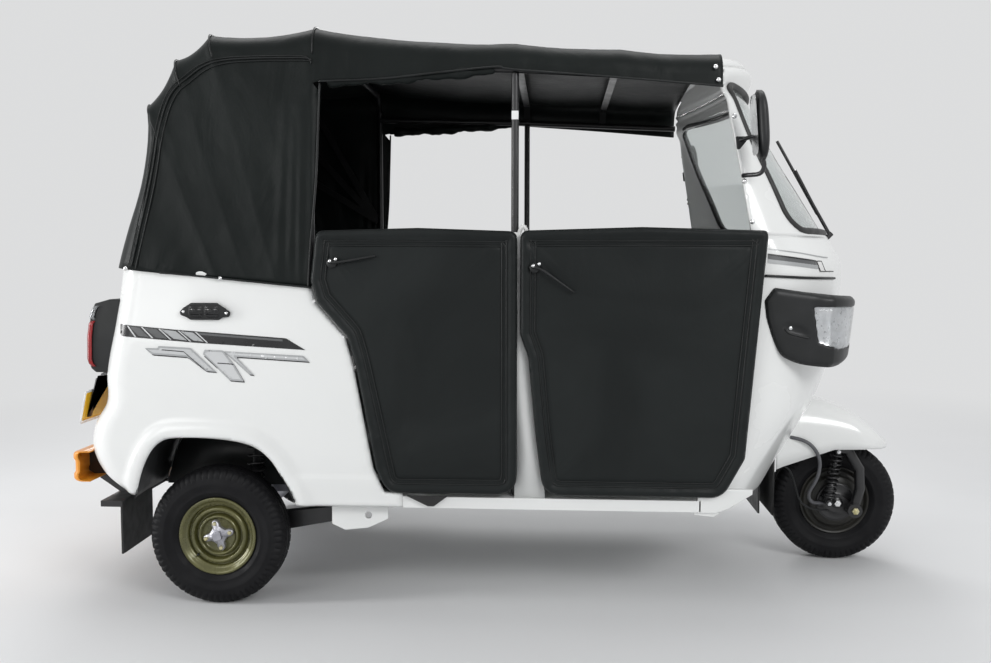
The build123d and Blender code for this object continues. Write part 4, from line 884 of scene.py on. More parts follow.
SCREEN_LOW, SCREEN_HIGH, SCREEN_HALF_LOW, SCREEN_HALF_HIGH = 1126.0, 1558.0, 556.0, 508.0
# drop below the crown of the cap, and inset from its foot
SCREEN_CAP = ((26, 0), (20, 1), (12, 6), (6, 16), (2, 32), (0, 60), (0, 100), (0, 150))


def crown_z(y):
    """The top of the white cap, domed across the vehicle."""
    return 1624 + 52 * (1 - (y / 560) ** 2)


def screen_frame():
    """Pillars, foot and rounded cap round the windscreen, one sheet with the opening in it."""
    def way_of(y, z):
        return float(nose_way(SCREEN, None, abs(y), z)) * (1 if y > 0 else -1)
    hole = round_corners(((-SCREEN_HALF_LOW, SCREEN_LOW), (SCREEN_HALF_LOW, SCREEN_LOW),
                          (SCREEN_HALF_HIGH, SCREEN_HIGH), (-SCREEN_HALF_HIGH, SCREEN_HIGH)), 62, 8)
    dense = []
    for (y0, z0), (y1, z1) in zip(hole, hole[1:] + hole[:1]):
        count = max(1, int(hypot(y1 - y0, z1 - z0) / 20))
        dense += [(y0 + (y1 - y0) * k / count, z0 + (z1 - z0) * k / count) for k in range(count)]
    hole = [(way_of(y, z), z) for y, z in dense]
    levels = [1112, 1160, 1220, 1280, 1340, 1400, 1460, 1520, 1580, 1620, 1654]
    rear = [float(nose_way(SCREEN, np.interp(z, *zip(*PILLAR)), None, z)) for z in levels]
    border = [(w, z) for w, z in zip(rear, levels)] + [(-w, z) for w, z in zip(rear[::-1], levels[::-1])]
    flat, faces, _ = trimmed_grid([border, hole], 9.0)
    from_hole, _ = edge_distance(flat, [hole])
    x, y, z = nose_at(SCREEN, flat[:, 0], flat[:, 1])
    fold = np.clip(1 - from_hole / 12.0, 0, 1) ** 2 * 6.0
    z = z + (crown_z(y) - 26 - CAP_FOOT) * ease(z, 1500, CAP_FOOT)
    points = np.stack([x - fold, y, z], axis=1)
    piece("screen_frame_skin", points, faces, white_paint, "body", ("windscreen_frame",), shell=9.0)
    flat, faces, _ = trimmed_grid([inset_polygon(np.array(hole), -5.0)], 14.0)
    x, y, z = nose_at(SCREEN, flat[:, 0], flat[:, 1])
    piece("screen_glass", np.stack([x - 11, y, z], axis=1), faces, clear_glass, "body", ("windscreen_glass",),
          shell=5.0)
    hole = np.array(hole)
    x, y, z = nose_at(SCREEN, hole[:, 0], hole[:, 1])
    seal = tube(list(zip(x - 5, y, z)), 11.0, 10, closed=True, step=12.0)
    piece("screen_seal", *seal, seal_rubber, "body", ("windscreen_seal",))
    rows = []
    for drop, inset in SCREEN_CAP:
        tip, half, front_r, corner_r = table_at(SCREEN, [float(CAP_FOOT)])[0]
        row = (tip - inset, half - inset * 0.6, front_r, corner_r)
        table = ((1000, *row), (2000, *row))
        far = float(nose_way(table, 622, None, 1500.0))
        px, py, _ = nose_at(table, np.linspace(-far, far, CAP_COLUMNS), np.full(CAP_COLUMNS, 1500.0))
        rows += [(a, b, crown_z(b) - drop) for a, b in zip(px, py)]
    piece("screen_cap", rows, grid_faces(len(SCREEN_CAP), CAP_COLUMNS), white_paint, "body", shell=3.0)
    screw = ((0.01, 4), (4, 3.6), (7, 1.5), (7.5, 0), (0.01, 0))
    for side, sign in SIDES:
        for k, (x, z) in enumerate(((655, 1452), (684, 1266), (706, 1150))):
            half = float(table_at(SCREEN, [float(z)])[0][1])
            stud(f"pillar_screw_{side}_{k}", screw, x, half, z, sign)


# ---------------------------------------------------------------- front mudguard and lamps
FENDER_HALF = 172.0


def fender():
    """Mudguard with a crowned top, drawn in to its tip."""
    tops = smooth_line(((880, 590), (985, 578), (1040, 566), (1100, 549), (1149, 529), (1215, 481),
                        (1262, 434), (1289, 411)), 8.0)
    def half_of(x):
        return FENDER_HALF if x < 1150 else FENDER_HALF * sqrt(max(0.0, 1 - ((x - 1150) / 139.5) ** 2.1))
    def top_of(x):
        return float(np.interp(x, [p[0] for p in tops], [p[1] for p in tops]))
    def low_of(x):
        return float(np.interp(x, (880, 905, 1075, 1190, 1289), (338, 350, 410, 412, 405)))
    xs = list(np.linspace(884, 1240, 44)) + list(np.linspace(1245, 1289, 18))
    rows, turns = [], 41
    for x in xs:
        half, top, low = half_of(x), top_of(x), low_of(x)
        for k in range(turns):
            t = pi * k / (turns - 1)
            c, s = cos(t), sin(t)
            y = half * (abs(c) ** 0.52) * (1 if c > 0 else -1)
            rows.append((x, y, low + (top - low) * abs(s) ** 0.62))
    piece("fender_skin", rows, grid_faces(len(xs), turns), white_paint, "body", ("front_fender",), shell=3.0)


# The housing's plan: straight along the flank, then an arc round to the front. A place on it
# is the way along this plan from its rear end, and a height.
POD_REAR, POD_FLANK, POD_CENTRE, POD_R = 747.0, 617.0, (795.0, 428.0), 232.0
POD = ((-6, 925), (22, 962), (160, 944), (300, 936), (418, 931), (428, 915), (428, 800), (405, 756),
       (300, 742), (205, 734), (118, 740), (70, 754), (38, 780), (4, 862))
LENS = ((132, 908), (378, 905), (374, 797), (306, 784), (212, 785), (148, 806))


def pod_place(way, z, lift, sign):
    """The point of the housing at this way and height, and lift outside its plan."""
    rise = POD_FLANK - POD_CENTRE[1]
    straight = POD_CENTRE[0] + sqrt(POD_R ** 2 - rise ** 2) - POD_REAR
    start = np.arcsin(rise / POD_R)
    turn = np.clip(start - (way - straight) / POD_R, 0, start)
    beyond = np.clip(way - straight - POD_R * start, 0, None)
    bent = way > straight
    x = np.where(bent, POD_CENTRE[0] + (POD_R + lift) * np.cos(turn), POD_REAR + way)
    y = np.where(bent, POD_CENTRE[1] + (POD_R + lift) * np.sin(turn) - beyond, POD_FLANK + lift)
    x = x - 18.0 * (930 - z) / 176 * ease(way, 120, 330)
    return [(a, sign * b, c) for a, b, c in zip(x, y, z)]


def pod(side, sign):
    """Headlamp housing: a rounded shell with a recess and its eyelid, a brow over the lamp
    opening, a bright reflector and the ribbed lens in it."""
    outline = round_corners(POD, 12, 3, only=(0, 1, 4, 5, 6, 7))
    outline = [tuple(p) for p in smooth_line(outline, 8.0, closed=True)]
    flat, faces, gap = trimmed_grid([outline], 4.5)
    from_lens, _ = edge_distance(flat, [LENS])
    in_lens = inside(flat, [LENS])
    lift = 13.0 * np.sqrt(np.clip(1 - (1 - np.clip(gap / 22.0, 0, 1)) ** 2, 0, 1))
    lift += 3.0 * ease(flat[:, 0], 130, 165) * ease(gap, 4, 14)
    lift -= in_lens * 22.0 * ease(from_lens, 0, 4)
    eye = ((flat[:, 0] - 84) / 34) ** 2 + ((flat[:, 1] - 842 + (flat[:, 0] - 84) * 0.3) / 15) ** 2
    lift -= 5.0 * np.clip(1.3 - eye, 0, 1)
    extra = ("headlamp_pods",) if side == "left" else ()
    piece(f"pod_shell_{side}", pod_place(flat[:, 0], flat[:, 1], lift, sign), faces, black_plastic, "body",
          extra)
    rim = np.array(outline)
    walls = []
    for depth in (0.0, -40.0, -80.0):
        walls += pod_place(rim[:, 0], rim[:, 1], np.full(len(rim), depth), sign)
    piece(f"pod_wall_{side}", walls, grid_faces(3, len(rim), wrap=True), black_plastic, "body")
    flat, faces, gap = trimmed_grid([round_corners(LENS, 8, 3)], 4.0)
    crown = 6.0 * np.sqrt(np.clip(1 - (1 - np.clip(gap / 14.0, 0, 1)) ** 2, 0, 1))
    piece(f"pod_lens_{side}", pod_place(flat[:, 0], flat[:, 1], 10.0 + crown, sign), faces, clear_lens,
          "body")
    bowl = 2.0 - 7.0 * np.abs(np.sin((flat[:, 0] - 170) / 242 * 2 * pi)) * ease(gap, 0, 30)
    piece(f"pod_reflector_{side}", pod_place(flat[:, 0], flat[:, 1], bowl, sign), faces, reflector, "body")
    lid = np.array(((52, 846), (62, 834), (80, 828), (100, 823), (122, 819)), dtype=float)
    piece(f"pod_eyelid_{side}", *tube(pod_place(lid[:, 0], lid[:, 1], 13.0, sign), 3.2, 8), black_plastic,
          "body")
    stud(f"pod_bolt_{side}", ((6, 0), (6, 3), (4.5, 4.5), (0.01, 4.5)), POD_REAR + 68, POD_FLANK + 8, 847,
         sign)
    clip = np.array(((405, 790), (412, 780), (410, 766), (400, 760)), dtype=float)
    piece(f"pod_clip_{side}", *tube(pod_place(clip[:, 0], clip[:, 1], 8.0, sign), 3.0, 8), bright_metal,
          "body")


# ---------------------------------------------------------------- folding top
# foot x, foot z, top x, top z, half width at the foot, at the shoulder, corner radius, crown
HOOPS = ((-1000, 998.6, -1172, 1016, 641, 641, 88, 0.1), (-850, 984, -1066, 1500, 641, 616, 66, 8),
         (-760, 975.2, -982, 1632, 641, 612, 66, 12), (-670, 966.5, -878, 1704, 641, 610, 66, 18),
         (-562, 955.9, -562, 1722, 641, 610, 66, 18), (-360, 1400, -360, 1690, 614, 608, 66, 22),
         (28, 1400, 28, 1672, 608, 604, 66, 26), (326, 1400, 326, 1652, 602, 600, 66, 28),
         (618, 1400, 618, 1636, 594, 592, 66, 30))
VALANCE = ((-562, 1552), (-542, 1556), (-360, 1562), (-180, 1579), (-29, 1592), (24, 1584), (326, 1560),
           (618, 1534))
HEM = ((-1134, 1012), (-1000, 993), (-840, 970), (-700, 961), (-562, 956))
BAYS = (14, 12, 14, 22, 16, 24, 20, 20)
SAGS = (36.0, 13.0, 12.0, 15.0, 5.0, 6.0, 5.0, 5.0)
LOW_ROWS, HIGH_ROWS, CORNER_ROWS, TOP_ROWS = 26, 10, 9, 30
MAIN_HOOP = 4.0        # the hoop where the curtains end and the open sides begin
WINDOW_FRONT, WINDOW_HALF, WINDOW_LOW, WINDOW_HIGH = -1000, 330, 1125, 1395
SNAP = ((0.01, 5.5), (3.5, 5.2), (6.0, 3.5), (7.0, 1.0), (7.2, 0))


def hoop_at(t):
    """The hoop's numbers at a place between hoops, and how far the cloth sags there."""
    i = min(int(t), len(HOOPS) - 2)
    f = t - i
    row = [a + (b - a) * f for a, b in zip(HOOPS[i], HOOPS[i + 1])]
    if i == 0:
        f = f * f
    return row, SAGS[i] * 4 * f * (1 - f)


def hood_ring(t):
    """One ring of the hood from the right hem over the top to the left hem. A ring lies in
    its hoop's leaning plane: run is the way up that plane."""
    (foot_x, foot_z, top_x, top_z, half, shoulder, corner, crown), sag = hoop_at(t)
    run = hypot(top_x - foot_x, top_z - foot_z)
    up_x, up_z = (top_x - foot_x) / run, (top_z - foot_z) / run
    side_end = run - corner
    points = []

    def place(way, y, out_y, out_up):
        depth = sag * (0.30 + 0.70 * out_up)
        way -= depth * out_up
        points.append((foot_x + up_x * way, -(y - depth * out_y), foot_z + up_z * way))

    if t < MAIN_HOOP:
        mid = side_end * 0.80
        for k in range(LOW_ROWS):
            way = mid * k / LOW_ROWS
            place(way, half + (shoulder - half) * way / side_end, 0.7, 0.0)
    else:
        mid = float(np.interp(top_x, *zip(*VALANCE))) - foot_z
    for k in range(HIGH_ROWS):
        way = mid + (side_end - mid) * k / HIGH_ROWS
        place(way, half + (shoulder - half) * way / side_end, 0.7, 0.0)
    for k in range(CORNER_ROWS):
        turn = pi / 2 * k / CORNER_ROWS
        place(side_end + corner * sin(turn), shoulder - corner + corner * cos(turn), cos(turn), sin(turn))
    inner = shoulder - corner
    for k in range(TOP_ROWS // 2 + 1):
        y = inner * (1 - k / (TOP_ROWS // 2))
        place(run + crown * (1 - (y / inner) ** 2), y, 0.0, 1.0)
    return points


def mirrored_ring(ring):
    return ring + [(x, -y, z) for x, y, z in reversed(ring[:-1])]


def hood():
    """The whole top as one continuous sheet: curtains and rear from the hem, and a roof
    whose edges are the short valances."""
    ts = []
    for i, count in enumerate(BAYS):
        ts += [i + k / count for k in range(count)]
    ts.append(len(HOOPS) - 1)
    rear_rings = [np.array(mirrored_ring(hood_ring(t))) for t in ts if t < MAIN_HOOP]
    main_low = []
    (_, foot_z, _, top_z, half, shoulder, corner, _), _ = hoop_at(MAIN_HOOP)
    side_top = top_z - corner
    for k in range(LOW_ROWS):
        level = foot_z + (1552 - foot_z) * k / LOW_ROWS
        x = float(np.interp(level, (900, 960, 1265, 1556), (-576, -574, -554, -542)))
        main_low.append((x, -(half + (shoulder - half) * (level - foot_z) / (side_top - foot_z)), level))
    main_ring = np.array(mirrored_ring(main_low + hood_ring(MAIN_HOOP)))
    rings = rear_rings + [main_ring]
    count = len(main_ring)
    low = LOW_ROWS
    points = [tuple(p) for ring in rings for p in ring]
    faces = grid_faces(len(rings), count)
    front = [np.array(mirrored_ring(hood_ring(t))) for t in ts if t > MAIN_HOOP]
    start = len(points)
    narrow = count - 2 * low
    points += [tuple(p) for ring in front for p in ring]
    last = (len(rings) - 1) * count
    for j in range(narrow - 1):
        faces.append((last + low + j, last + low + j + 1, start + j + 1, start + j))
    faces += [tuple(start + k for k in f) for f in grid_faces(len(front), narrow)]
    points = np.array(points)

    x, y, z = points.T
    out = np.stack([np.zeros_like(x), np.sign(y) * ease(np.abs(y), 540, 600), 1 - ease(np.abs(y), 540, 600)],
                   axis=1)
    broad = wrinkle(x + 0.4 * z, z * 0.35 + y * 0.2, 0.006, 3.1) * 3.0
    fine = wrinkle(x * 1.4 + y * 0.7, z + y * 0.6, 0.021, 8.4) * 1.4
    curtain = (x < -560) & (z < 1500)
    folds = np.zeros(len(points))
    for centre, lean, depth, width in ((-592, 0.020, 5.0, 7.0), (-612, 0.035, 4.0, 9.0),
                                       (-640, 0.05, 3.0, 12.0)):
        line = centre - lean * (1550 - z)
        folds += depth * np.exp(-((x - line) / width) ** 2) * ease(z, 960, 1080) * curtain
    corner_folds = np.zeros(len(points))
    for (cx, cz), angle in (((-1062, 1494), 0.9), ((-1062, 1494), 1.2), ((-982, 1622), 1.1),
                            ((-878, 1690), 1.3)):
        along = (x - cx) * cos(angle) - (z - cz) * sin(angle)
        across = (x - cx) * sin(angle) + (z - cz) * cos(angle)
        fold = 3.0 * np.exp(-(across / 8.0) ** 2) * ease(along, 0, 20) * (1 - ease(along, 60, 170))
        corner_folds += fold * (np.abs(y) > 560)
    hem_line = np.interp(x, *zip(*HEM))
    hem = 2.2 * (np.abs(z - hem_line - 20) < 3) * (x < -560)
    depth = np.clip(broad + fine, -5, 4) - 2.0 + folds + corner_folds - hem
    points = points + out * depth[:, None]

    def in_window(face):
        x, y, z = np.mean([points[k] for k in face], axis=0)
        return x < WINDOW_FRONT and abs(y) < WINDOW_HALF and WINDOW_LOW < z < WINDOW_HIGH

    keep = [f for f in faces if not in_window(f)]
    sheet = piece("hood_sheet", points, keep, black_vinyl, "body", ("canopy",), shell=2.5)
    return sheet


def on_hood(t, level, lift=1.5):
    """A point of the right curtain's skin at a hoop place and a height."""
    (foot_x, foot_z, top_x, top_z, half, shoulder, corner, _), sag = hoop_at(t)
    run = hypot(top_x - foot_x, top_z - foot_z)
    way = (level - foot_z) * run / (top_z - foot_z)
    side_end = run - corner
    y = half + (shoulder - half) * min(1.0, way / side_end)
    if way > side_end:
        y = shoulder - corner + sqrt(max(0.0, corner ** 2 - (way - side_end) ** 2))
    return foot_x + (top_x - foot_x) * way / run, -(y - sag * 0.21 + lift), level


def hoop_through(x, z):
    """The place between hoops whose skin passes through this point of the side."""
    low, high = 0.01, 3.99
    for _ in range(30):
        t = (low + high) / 2
        low, high = (t, high) if on_hood(t, z)[0] < x else (low, t)
    return t


def hood_trim():
    """Raised seam, hem band, fasteners, bow pockets, rear window and the rolled side screens."""
    seam = smooth_line(((-1102, 1020), (-1050, 1257), (-1000, 1485), (-935, 1567), (-832, 1618), (-605, 1624),
                        (-558, 1614)), 12.0)
    for side, sign in SIDES:
        for k, (off, radius) in enumerate(((0, 2.6), (13, 2.0), (-9, 1.6))):
            line = [on_hood(hoop_through(x + off, z - 0.6 * off), z - 0.6 * off) for x, z in seam]
            piece(f"hood_seam_{side}_{k}", *tube([(x, -sign * y, z) for x, y, z in line], radius, 8),
                  piping_vinyl, "body")
        low = []
        for t in np.linspace(0.02, 3.96, 24):
            x, y, z = on_hood(t, hoop_at(t)[0][1] + 3)
            low.append((x, -sign * y, z))
        piece(f"hood_hem_{side}", *tube(low, 3.0, 8), piping_vinyl, "body")
        edge = [(x, sign * y, z) for x, y,
                z in ((-574, 642, 962), (-568, 636, 1071), (-552, 626, 1265), (-546, 620, 1400),
                      (-540, 613, 1550))]
        piece(f"curtain_edge_{side}", *tube(edge, 3.4, 8), piping_vinyl, "body")
        low_edge = [(x, sign * float(np.interp(x, (-562, 28, 618), (613, 608, 596))), z)
                    for x, z in VALANCE[1:]]
        piece(f"valance_edge_{side}", *tube(low_edge, 3.2, 8), piping_vinyl, "body")
        for k, (x, z, y) in enumerate(((-836, 985, 639), (-1118, 1014, 642), (596, 1588, 598),
                                       (605, 1552, 596), (-556, 1000, 642))):
            stud(f"snap_{side}_{k}", SNAP, x, y, z, sign, 20)
        roll = [(x, sign * y, z) for x, y,
                z in ((-520, 592, 1562), (-430, 593, 1562), (-300, 592, 1568), (-160, 591, 1578),
                      (-34, 590, 1590))]
        pts, faces = tube(roll, lambda f: 13.0 + 2.5 * sin(17 * f + 0.6) + 1.8 * sin(41 * f), 18, step=4.0,
                          flat=1.25)
        pts = np.array(pts)
        crumple = wrinkle(pts[:, 0], pts[:, 2] * 3, 0.05, 2.0) * 2.4
        pts[:, 2] += crumple
        pts[:, 1] += sign * crumple * 0.5
        screen = piece(f"rolled_screen_{side}", pts, faces, black_vinyl, "body")
    for name, t in (("bow_1", 1.0), ("bow_2", 2.0), ("bow_3", 3.0), ("main_bow", 4.0)):
        ring = mirrored_ring([p for p in hood_ring(t) if p[2] > hoop_at(t)[0][3] - 90])
        ring = [(x, y, z + 0.8) for x, y, z in ring]
        piece(f"{name}_pocket", *tube(ring[::3], 2.6, 8), piping_vinyl, "body")
    rear_line = [hood_ring(t)[-8] for t in np.linspace(0, 1, 15)]

    def rear_x(z):
        return float(np.interp(z, [p[2] for p in rear_line], [p[0] for p in rear_line]))

    frame_line = round_corners(((-322, 1132), (322, 1132), (322, 1388), (-322, 1388)), 34, 5)
    outer = round_corners(((-366, 1092), (366, 1092), (366, 1428), (-366, 1428)), 44, 5)
    flat, faces, _ = trimmed_grid([outer], 12.0)
    points = [(rear_x(z) + 4 + 1.5 * sin(y * 0.011) * sin(z * 0.02), y, z) for y, z in flat]
    piece("rear_window", points, faces, window_film, "body", shell=1.0)
    flat, faces, _ = trimmed_grid([outer, frame_line], 12.0)
    piece("rear_window_band", [(rear_x(z) - 2.5, y, z) for y, z in flat], faces, black_vinyl, "body",
          shell=1.5)
    border = [(rear_x(z) - 4.0, y, z) for y, z in frame_line]
    piece("rear_window_seam", *tube(border, 3.0, 8, closed=True), piping_vinyl, "body")


# ---------------------------------------------------------------- soft doors
REAR_DOOR = ((-548, 1124), (-565, 980), (-547, 918), (-459, 818), (-435, 733), (-378, 430), (-345, 357),
             (36, 357), (36, 1122), (-250, 1132))
FRONT_DOOR = ((44, 1124), (44, 826), (68, 758), (88, 548), (112, 357), (628, 357), (690, 472), (743, 1108),
              (738, 1124), (390, 1134))
DOOR_MID, DOOR_HALF, DOOR_CHANNEL = 650.0, 12.0, 6.5


def door_shape(outline, gathers, seed):
    """Padded soft panel: a full border, a sewn channel with two lines of piping and a
    slightly crowned field with gathers at its corners. Both faces."""
    flat, faces, gap = trimmed_grid([outline], 5.0)
    bulge = DOOR_HALF * np.sqrt(np.clip(1 - (1 - np.clip(gap / 14.0, 0, 1)) ** 2, 0, 1))
    channel = DOOR_CHANNEL * ease(gap, 15, 32)
    crown = 6.0 * ease(gap, 52, 190)
    valley = 2.6 * np.exp(-((gap - 46) / 5.0) ** 2)
    x, z = flat.T
    waves = wrinkle(x, z, 0.0075, seed) * 2.2 * ease(gap, 20, 90)
    border = wrinkle(x * 1.2, z * 1.2, 0.028, seed + 5) * 1.2 * ease(gap, 3, 12) * (1 - ease(gap, 30, 50))
    pulls = np.zeros(len(flat))
    for cx, cz, angle, reach in gathers:
        along = (x - cx) * cos(angle) + (z - cz) * sin(angle)
        across = -(x - cx) * sin(angle) + (z - cz) * cos(angle)
        for shift, depth in ((-16, 1.8), (0, 2.6), (17, 1.9), (30, 1.2)):
            line = across - shift * (0.4 + along / reach)
            pull = depth * np.exp(-(line / 6.0) ** 2) * ease(along, 0, 25)
            pulls += pull * (1 - ease(along, reach * 0.5, reach))
    face = np.clip(bulge - channel + crown - valley + waves + border + pulls, 0, DOOR_HALF + 3)
    face[gap == 0] = 0.0
    inner = np.clip(bulge * 0.9 - channel * 0.6, 0, DOOR_HALF)
    n = len(flat)
    outer = [(a, -(DOOR_MID + f), b) for (a, b), f in zip(flat, face)]
    back = [(a, -(DOOR_MID - f), b) for (a, b), f in zip(flat, inner)]
    both = outer + back
    all_faces = [tuple(reversed(f)) for f in faces] + [tuple(n + k for k in f) for f in faces]
    return both, all_faces


def door_height(gap):
    return DOOR_HALF - DOOR_CHANNEL * float(ease(gap, 15, 32))


def lever(place, tip):
    """Latch lever with two bright knobs at its root."""
    (x, z), (tx, tz) = place, tip
    y = 668
    shapes = [tube([(x - 12, -y + 2, z + 3), (x + 20, -y - 3, z + (tz - z) * 0.12),
                    (tx - 8, -y - 3, tz - (tz - z) * 0.06), (tx, -y - 1, tz)],
                   lambda f: 6.5 - 2.0 * f, 12, flat=0.7)]
    plate = lathe(((0.01, -6), (13, -5.5), (15, -3), (15, 0)), (x - 4, -662, z), "Y", 24)
    knobs = [lathe(((0.01, -11), (3.5, -10.5), (5.5, -8), (5.0, -4), (4.0, 0)),
                   (x - 8 + k * 17, -664, z + 6 + k * 5), "Y", 18)
             for k in (0, 1)]
    return join_shapes(shapes + [plate]), join_shapes(knobs)


# outline, body, node, gathers (x, z, angle, reach), the latch's root and tip, seed of the wrinkles
DOORS = (
    (round_corners(REAR_DOOR, 62, 8, only=(6, 7)), "door_rear", "rear_door",
     ((-430, 480, 0.6, 150), (-20, 1090, 3.9, 140), (-520, 1090, 5.4, 150)), ((-495, 1031), (-370, 1051)),
     11.0),
    (round_corners(FRONT_DOOR, 62, 8, only=(4, 5)), "door_front", "front_door",
     ((120, 390, 0.8, 160), (60, 1090, 5.3, 150), (720, 1085, 3.9, 150)), ((90, 1018), (198, 950)), 23.0),
)


def doors():
    """Each door's padded panel, two lines of piping and its latch, on both sides."""
    for outline, body, node, gathers, latch, seed in DOORS:
        outline = round_corners(outline, 26, 5)
        skin = door_shape(outline, gathers, seed)
        rims = []
        for inset, bead in ((30, 2.6), (43, 2.2)):
            line = np.array(round_corners([tuple(p) for p in inset_polygon(np.array(outline[::2]), inset)],
                                          26, 5))
            level = DOOR_MID + door_height(inset) + 0.4
            rims.append(tube([(x, -level, z) for x, z in line], bead, 8, closed=True, step=9.0))
        arm, knobs = lever(*latch)
        for side, sign in SIDES:
            rider = f"{body}_{side}"
            shapes = [mirrored(shape) if sign > 0 else shape
                      for shape in (skin, join_shapes(rims), arm, knobs)]
            pad = piece(f"{node}_pad_{side}", *shapes[0], door_vinyl, rider, (f"{node}_{side}",))
            trims = (("piping", piping_vinyl), ("lever", black_plastic), ("knobs", bright_metal))
            for (part, material), shape in zip(trims, shapes[1:]):
                piece(f"{node}_{part}_{side}", *shape, material, rider)


# ---------------------------------------------------------------- seats
def cushion(low, high, seams):
    """A crowned cushion over a rounded plan: seams are sewn channels across its width."""
    (x0, y0, z0), (x1, y1, z1) = low, high
    nx, ny = 60, max(40, int((y1 - y0) / 14))
    us, vs = np.linspace(-1, 1, nx), np.linspace(-1, 1, ny)
    points, faces = [], []
    for top in (1, 0):
        start = len(points)
        for u in us:
            for v in vs:
                round_u = sqrt(max(0.0, 1 - abs(u) ** 14))
                round_v = sqrt(max(0.0, 1 - abs(v) ** 22))
                x = (x0 + x1) / 2 + (x1 - x0) / 2 * u * (1 - 0.012 * (1 - abs(v)) ** 2)
                y = (y0 + y1) / 2 + (y1 - y0) / 2 * v * (1 - 0.008 * (1 - abs(u)) ** 2)
                body_h = min(round_u, round_v)
                crown = (1 - u * u) * 0.10 + (1 - v ** 4) * 0.06
                sew = sum(exp_dip((x - s) / 7.0) for s in seams) * 0.22
                if top:
                    h = (0.62 + 0.22 * body_h + crown - sew * body_h) if body_h > 0 else 0.5
                    z = z0 + (z1 - z0) * min(1.0, h if body_h > 0.02 else 0.42)
                else:
                    z = z0 + (z1 - z0) * (0.42 - 0.42 * min(1, body_h * 1.4))
                points.append((x, y, z))
        block = grid_faces(nx, ny)
        faces += [tuple(start + k for k in (reversed(f) if top else f)) for f in block]
    return points, faces


def exp_dip(v):
    return 2.718281828 ** (-v * v)


def soften(obj, cap):
    """Cloth under pressure, held near where it started, then applied."""
    start = [v.co.copy() for v in obj.data.vertices]
    cloth = obj.modifiers.new("cloth", "CLOTH")
    cloth.settings.use_pressure = True
    cloth.settings.uniform_pressure_force = 4.0
    cloth.settings.effector_weights.gravity = 0.0
    cloth.settings.quality = 4
    cloth.collision_settings.use_collision = False
    scene = bpy.context.scene
    for step in range(1, 13):
        scene.frame_set(step)
    shape = obj.evaluated_get(bpy.context.evaluated_depsgraph_get())
    moved = [v.co.copy() for v in shape.data.vertices]
    obj.modifiers.remove(cloth)
    for vertex, before, after in zip(obj.data.vertices, start, moved):
        shift = after - before
        if shift.length > cap:
            shift *= cap / shift.length
        vertex.co = before + shift
    scene.frame_set(1)


# name, the cushion's corners, its seams, the cloth's cap, the back's size, its seams and its foot
SEATS = (("passenger", (-1000, -588, 621), (-452, 588, 712), (-880, -760, -640, -520), 0.008,
          (385, 588, 88), (70, 160, 250, 330), (-915, 706)),
         ("driver", (62, -248, 601), (382, 248, 678), (150, 230, 310), 0.006,
          (318, 228, 66), (70, 150, 230), (30, 692)))
BACK_LEAN = 0.14


def seats():
    """Each seat's cushion and its upright back, then softened as cloth."""
    made = []
    for name, low, high, seams, cap, size, back_seams, (foot_x, foot_z) in SEATS:
        made.append((piece(f"{name}_cushion", *cushion(low, high, seams), seat_vinyl, "body",
                           (f"{name}_seat",)), cap))
        _, half, thick = size
        points, faces = cushion((0, -half, 0), size, back_seams)
        upright = [(foot_x - (thick - c) - BACK_LEAN * a, y, foot_z + a) for a, y, c in points]
        made.append((piece(f"{name}_backrest", upright, faces, seat_vinyl, "body"), cap))
    for obj, cap in made:
        soften(obj, cap)


# ---------------------------------------------------------------- wheels
TYRE_R, SEAT_R = 207.5, 103.8
FRONT_AXLE_X, REAR_AXLE_X = 1115.5, -869.5
RIM_TURNS = 96
WHEELS = (("front", "front_wheel", FRONT_AXLE_X, 0.0, 1),
          ("rear_left", "rear_wheel_left", REAR_AXLE_X, 575.0, 1),
          ("rear_right", "rear_wheel_right", REAR_AXLE_X, -575.0, -1))
SIDEWALL = ((SEAT_R, 33), (110, 34), (118, 34.5), (122, 37), (127, 42), (134, 46.5), (136, 47.8), (138, 47.2),
            (150, 51.4), (160, 53.4), (163, 54), (166, 53.2), (174, 53.0), (180, 52.2), (183, 52.6),
            (188, 51.0), (193, 48.6), (198, 45.4), (202, 41.0), (204.6, 36.0), (205.6, 30.0),
            (206.3, 24.0), (206.6, 22.0), (207.0, 15.0), (207.3, 8.0), (207.5, 4.0))
SHOULDER_LUGS, TREAD_BLOCKS, TURNS = 64, 48, 384


def tread(r, a, turn):
    """Shoulder lugs and the zigzag grooves of the crown."""
    side = 1 if a > 0 else -1
    lug = 0.5 + 0.5 * sin(SHOULDER_LUGS * turn + (0 if side > 0 else pi))
    depth = 0.0
    if 181 < r < 205.2 and abs(a) > 30:
        depth = 3.6 * (lug < 0.34)
    if abs(a) <= 30:
        wave = 3.0 * abs(((TREAD_BLOCKS * turn / (2 * pi)) % 1) * 2 - 1) - 1.5
        for groove in (-22, 0, 22):
            if abs(a - groove - wave) < 2.6:
                depth = 5.0
        if ((TREAD_BLOCKS * turn / (2 * pi) + 0.25) % 1) < 0.12 and abs(abs(a) - 11) > 5:
            depth = max(depth, 3.0)
    return r - depth, a - side * depth * 0.45 * (abs(a) > 36)


def tyre_profile():
    crown = [(207.5, float(a)) for a in np.linspace(28, -28, 29)]
    half = [p for p in SIDEWALL if p[1] > 29 or p[0] < 200]
    return [(r, a) for r, a in half] + crown + [(r, -a) for r, a in reversed(half)]


RIM = ((118, 39), (117, 40), (112, 40), (108, 37), (104, 31), (100, 28), (96, 27), (93, 18), (91, 14),
       (89, 18), (86, 27), (82, 30), (77, 30), (74, 27), (72, 14), (68, 10), (64, 12), (62, 24), (60, 29),
       (56, 30), (54, 27), (51, 20), (46, 17), (20, 17), (0.01, 17))
HUB_TURN = radians(15)
RIM_BACK = ((118, -39), (114, -40), (110, -34), (100, -30), (88, -46), (84, -52), (60, -52), (16, -50))


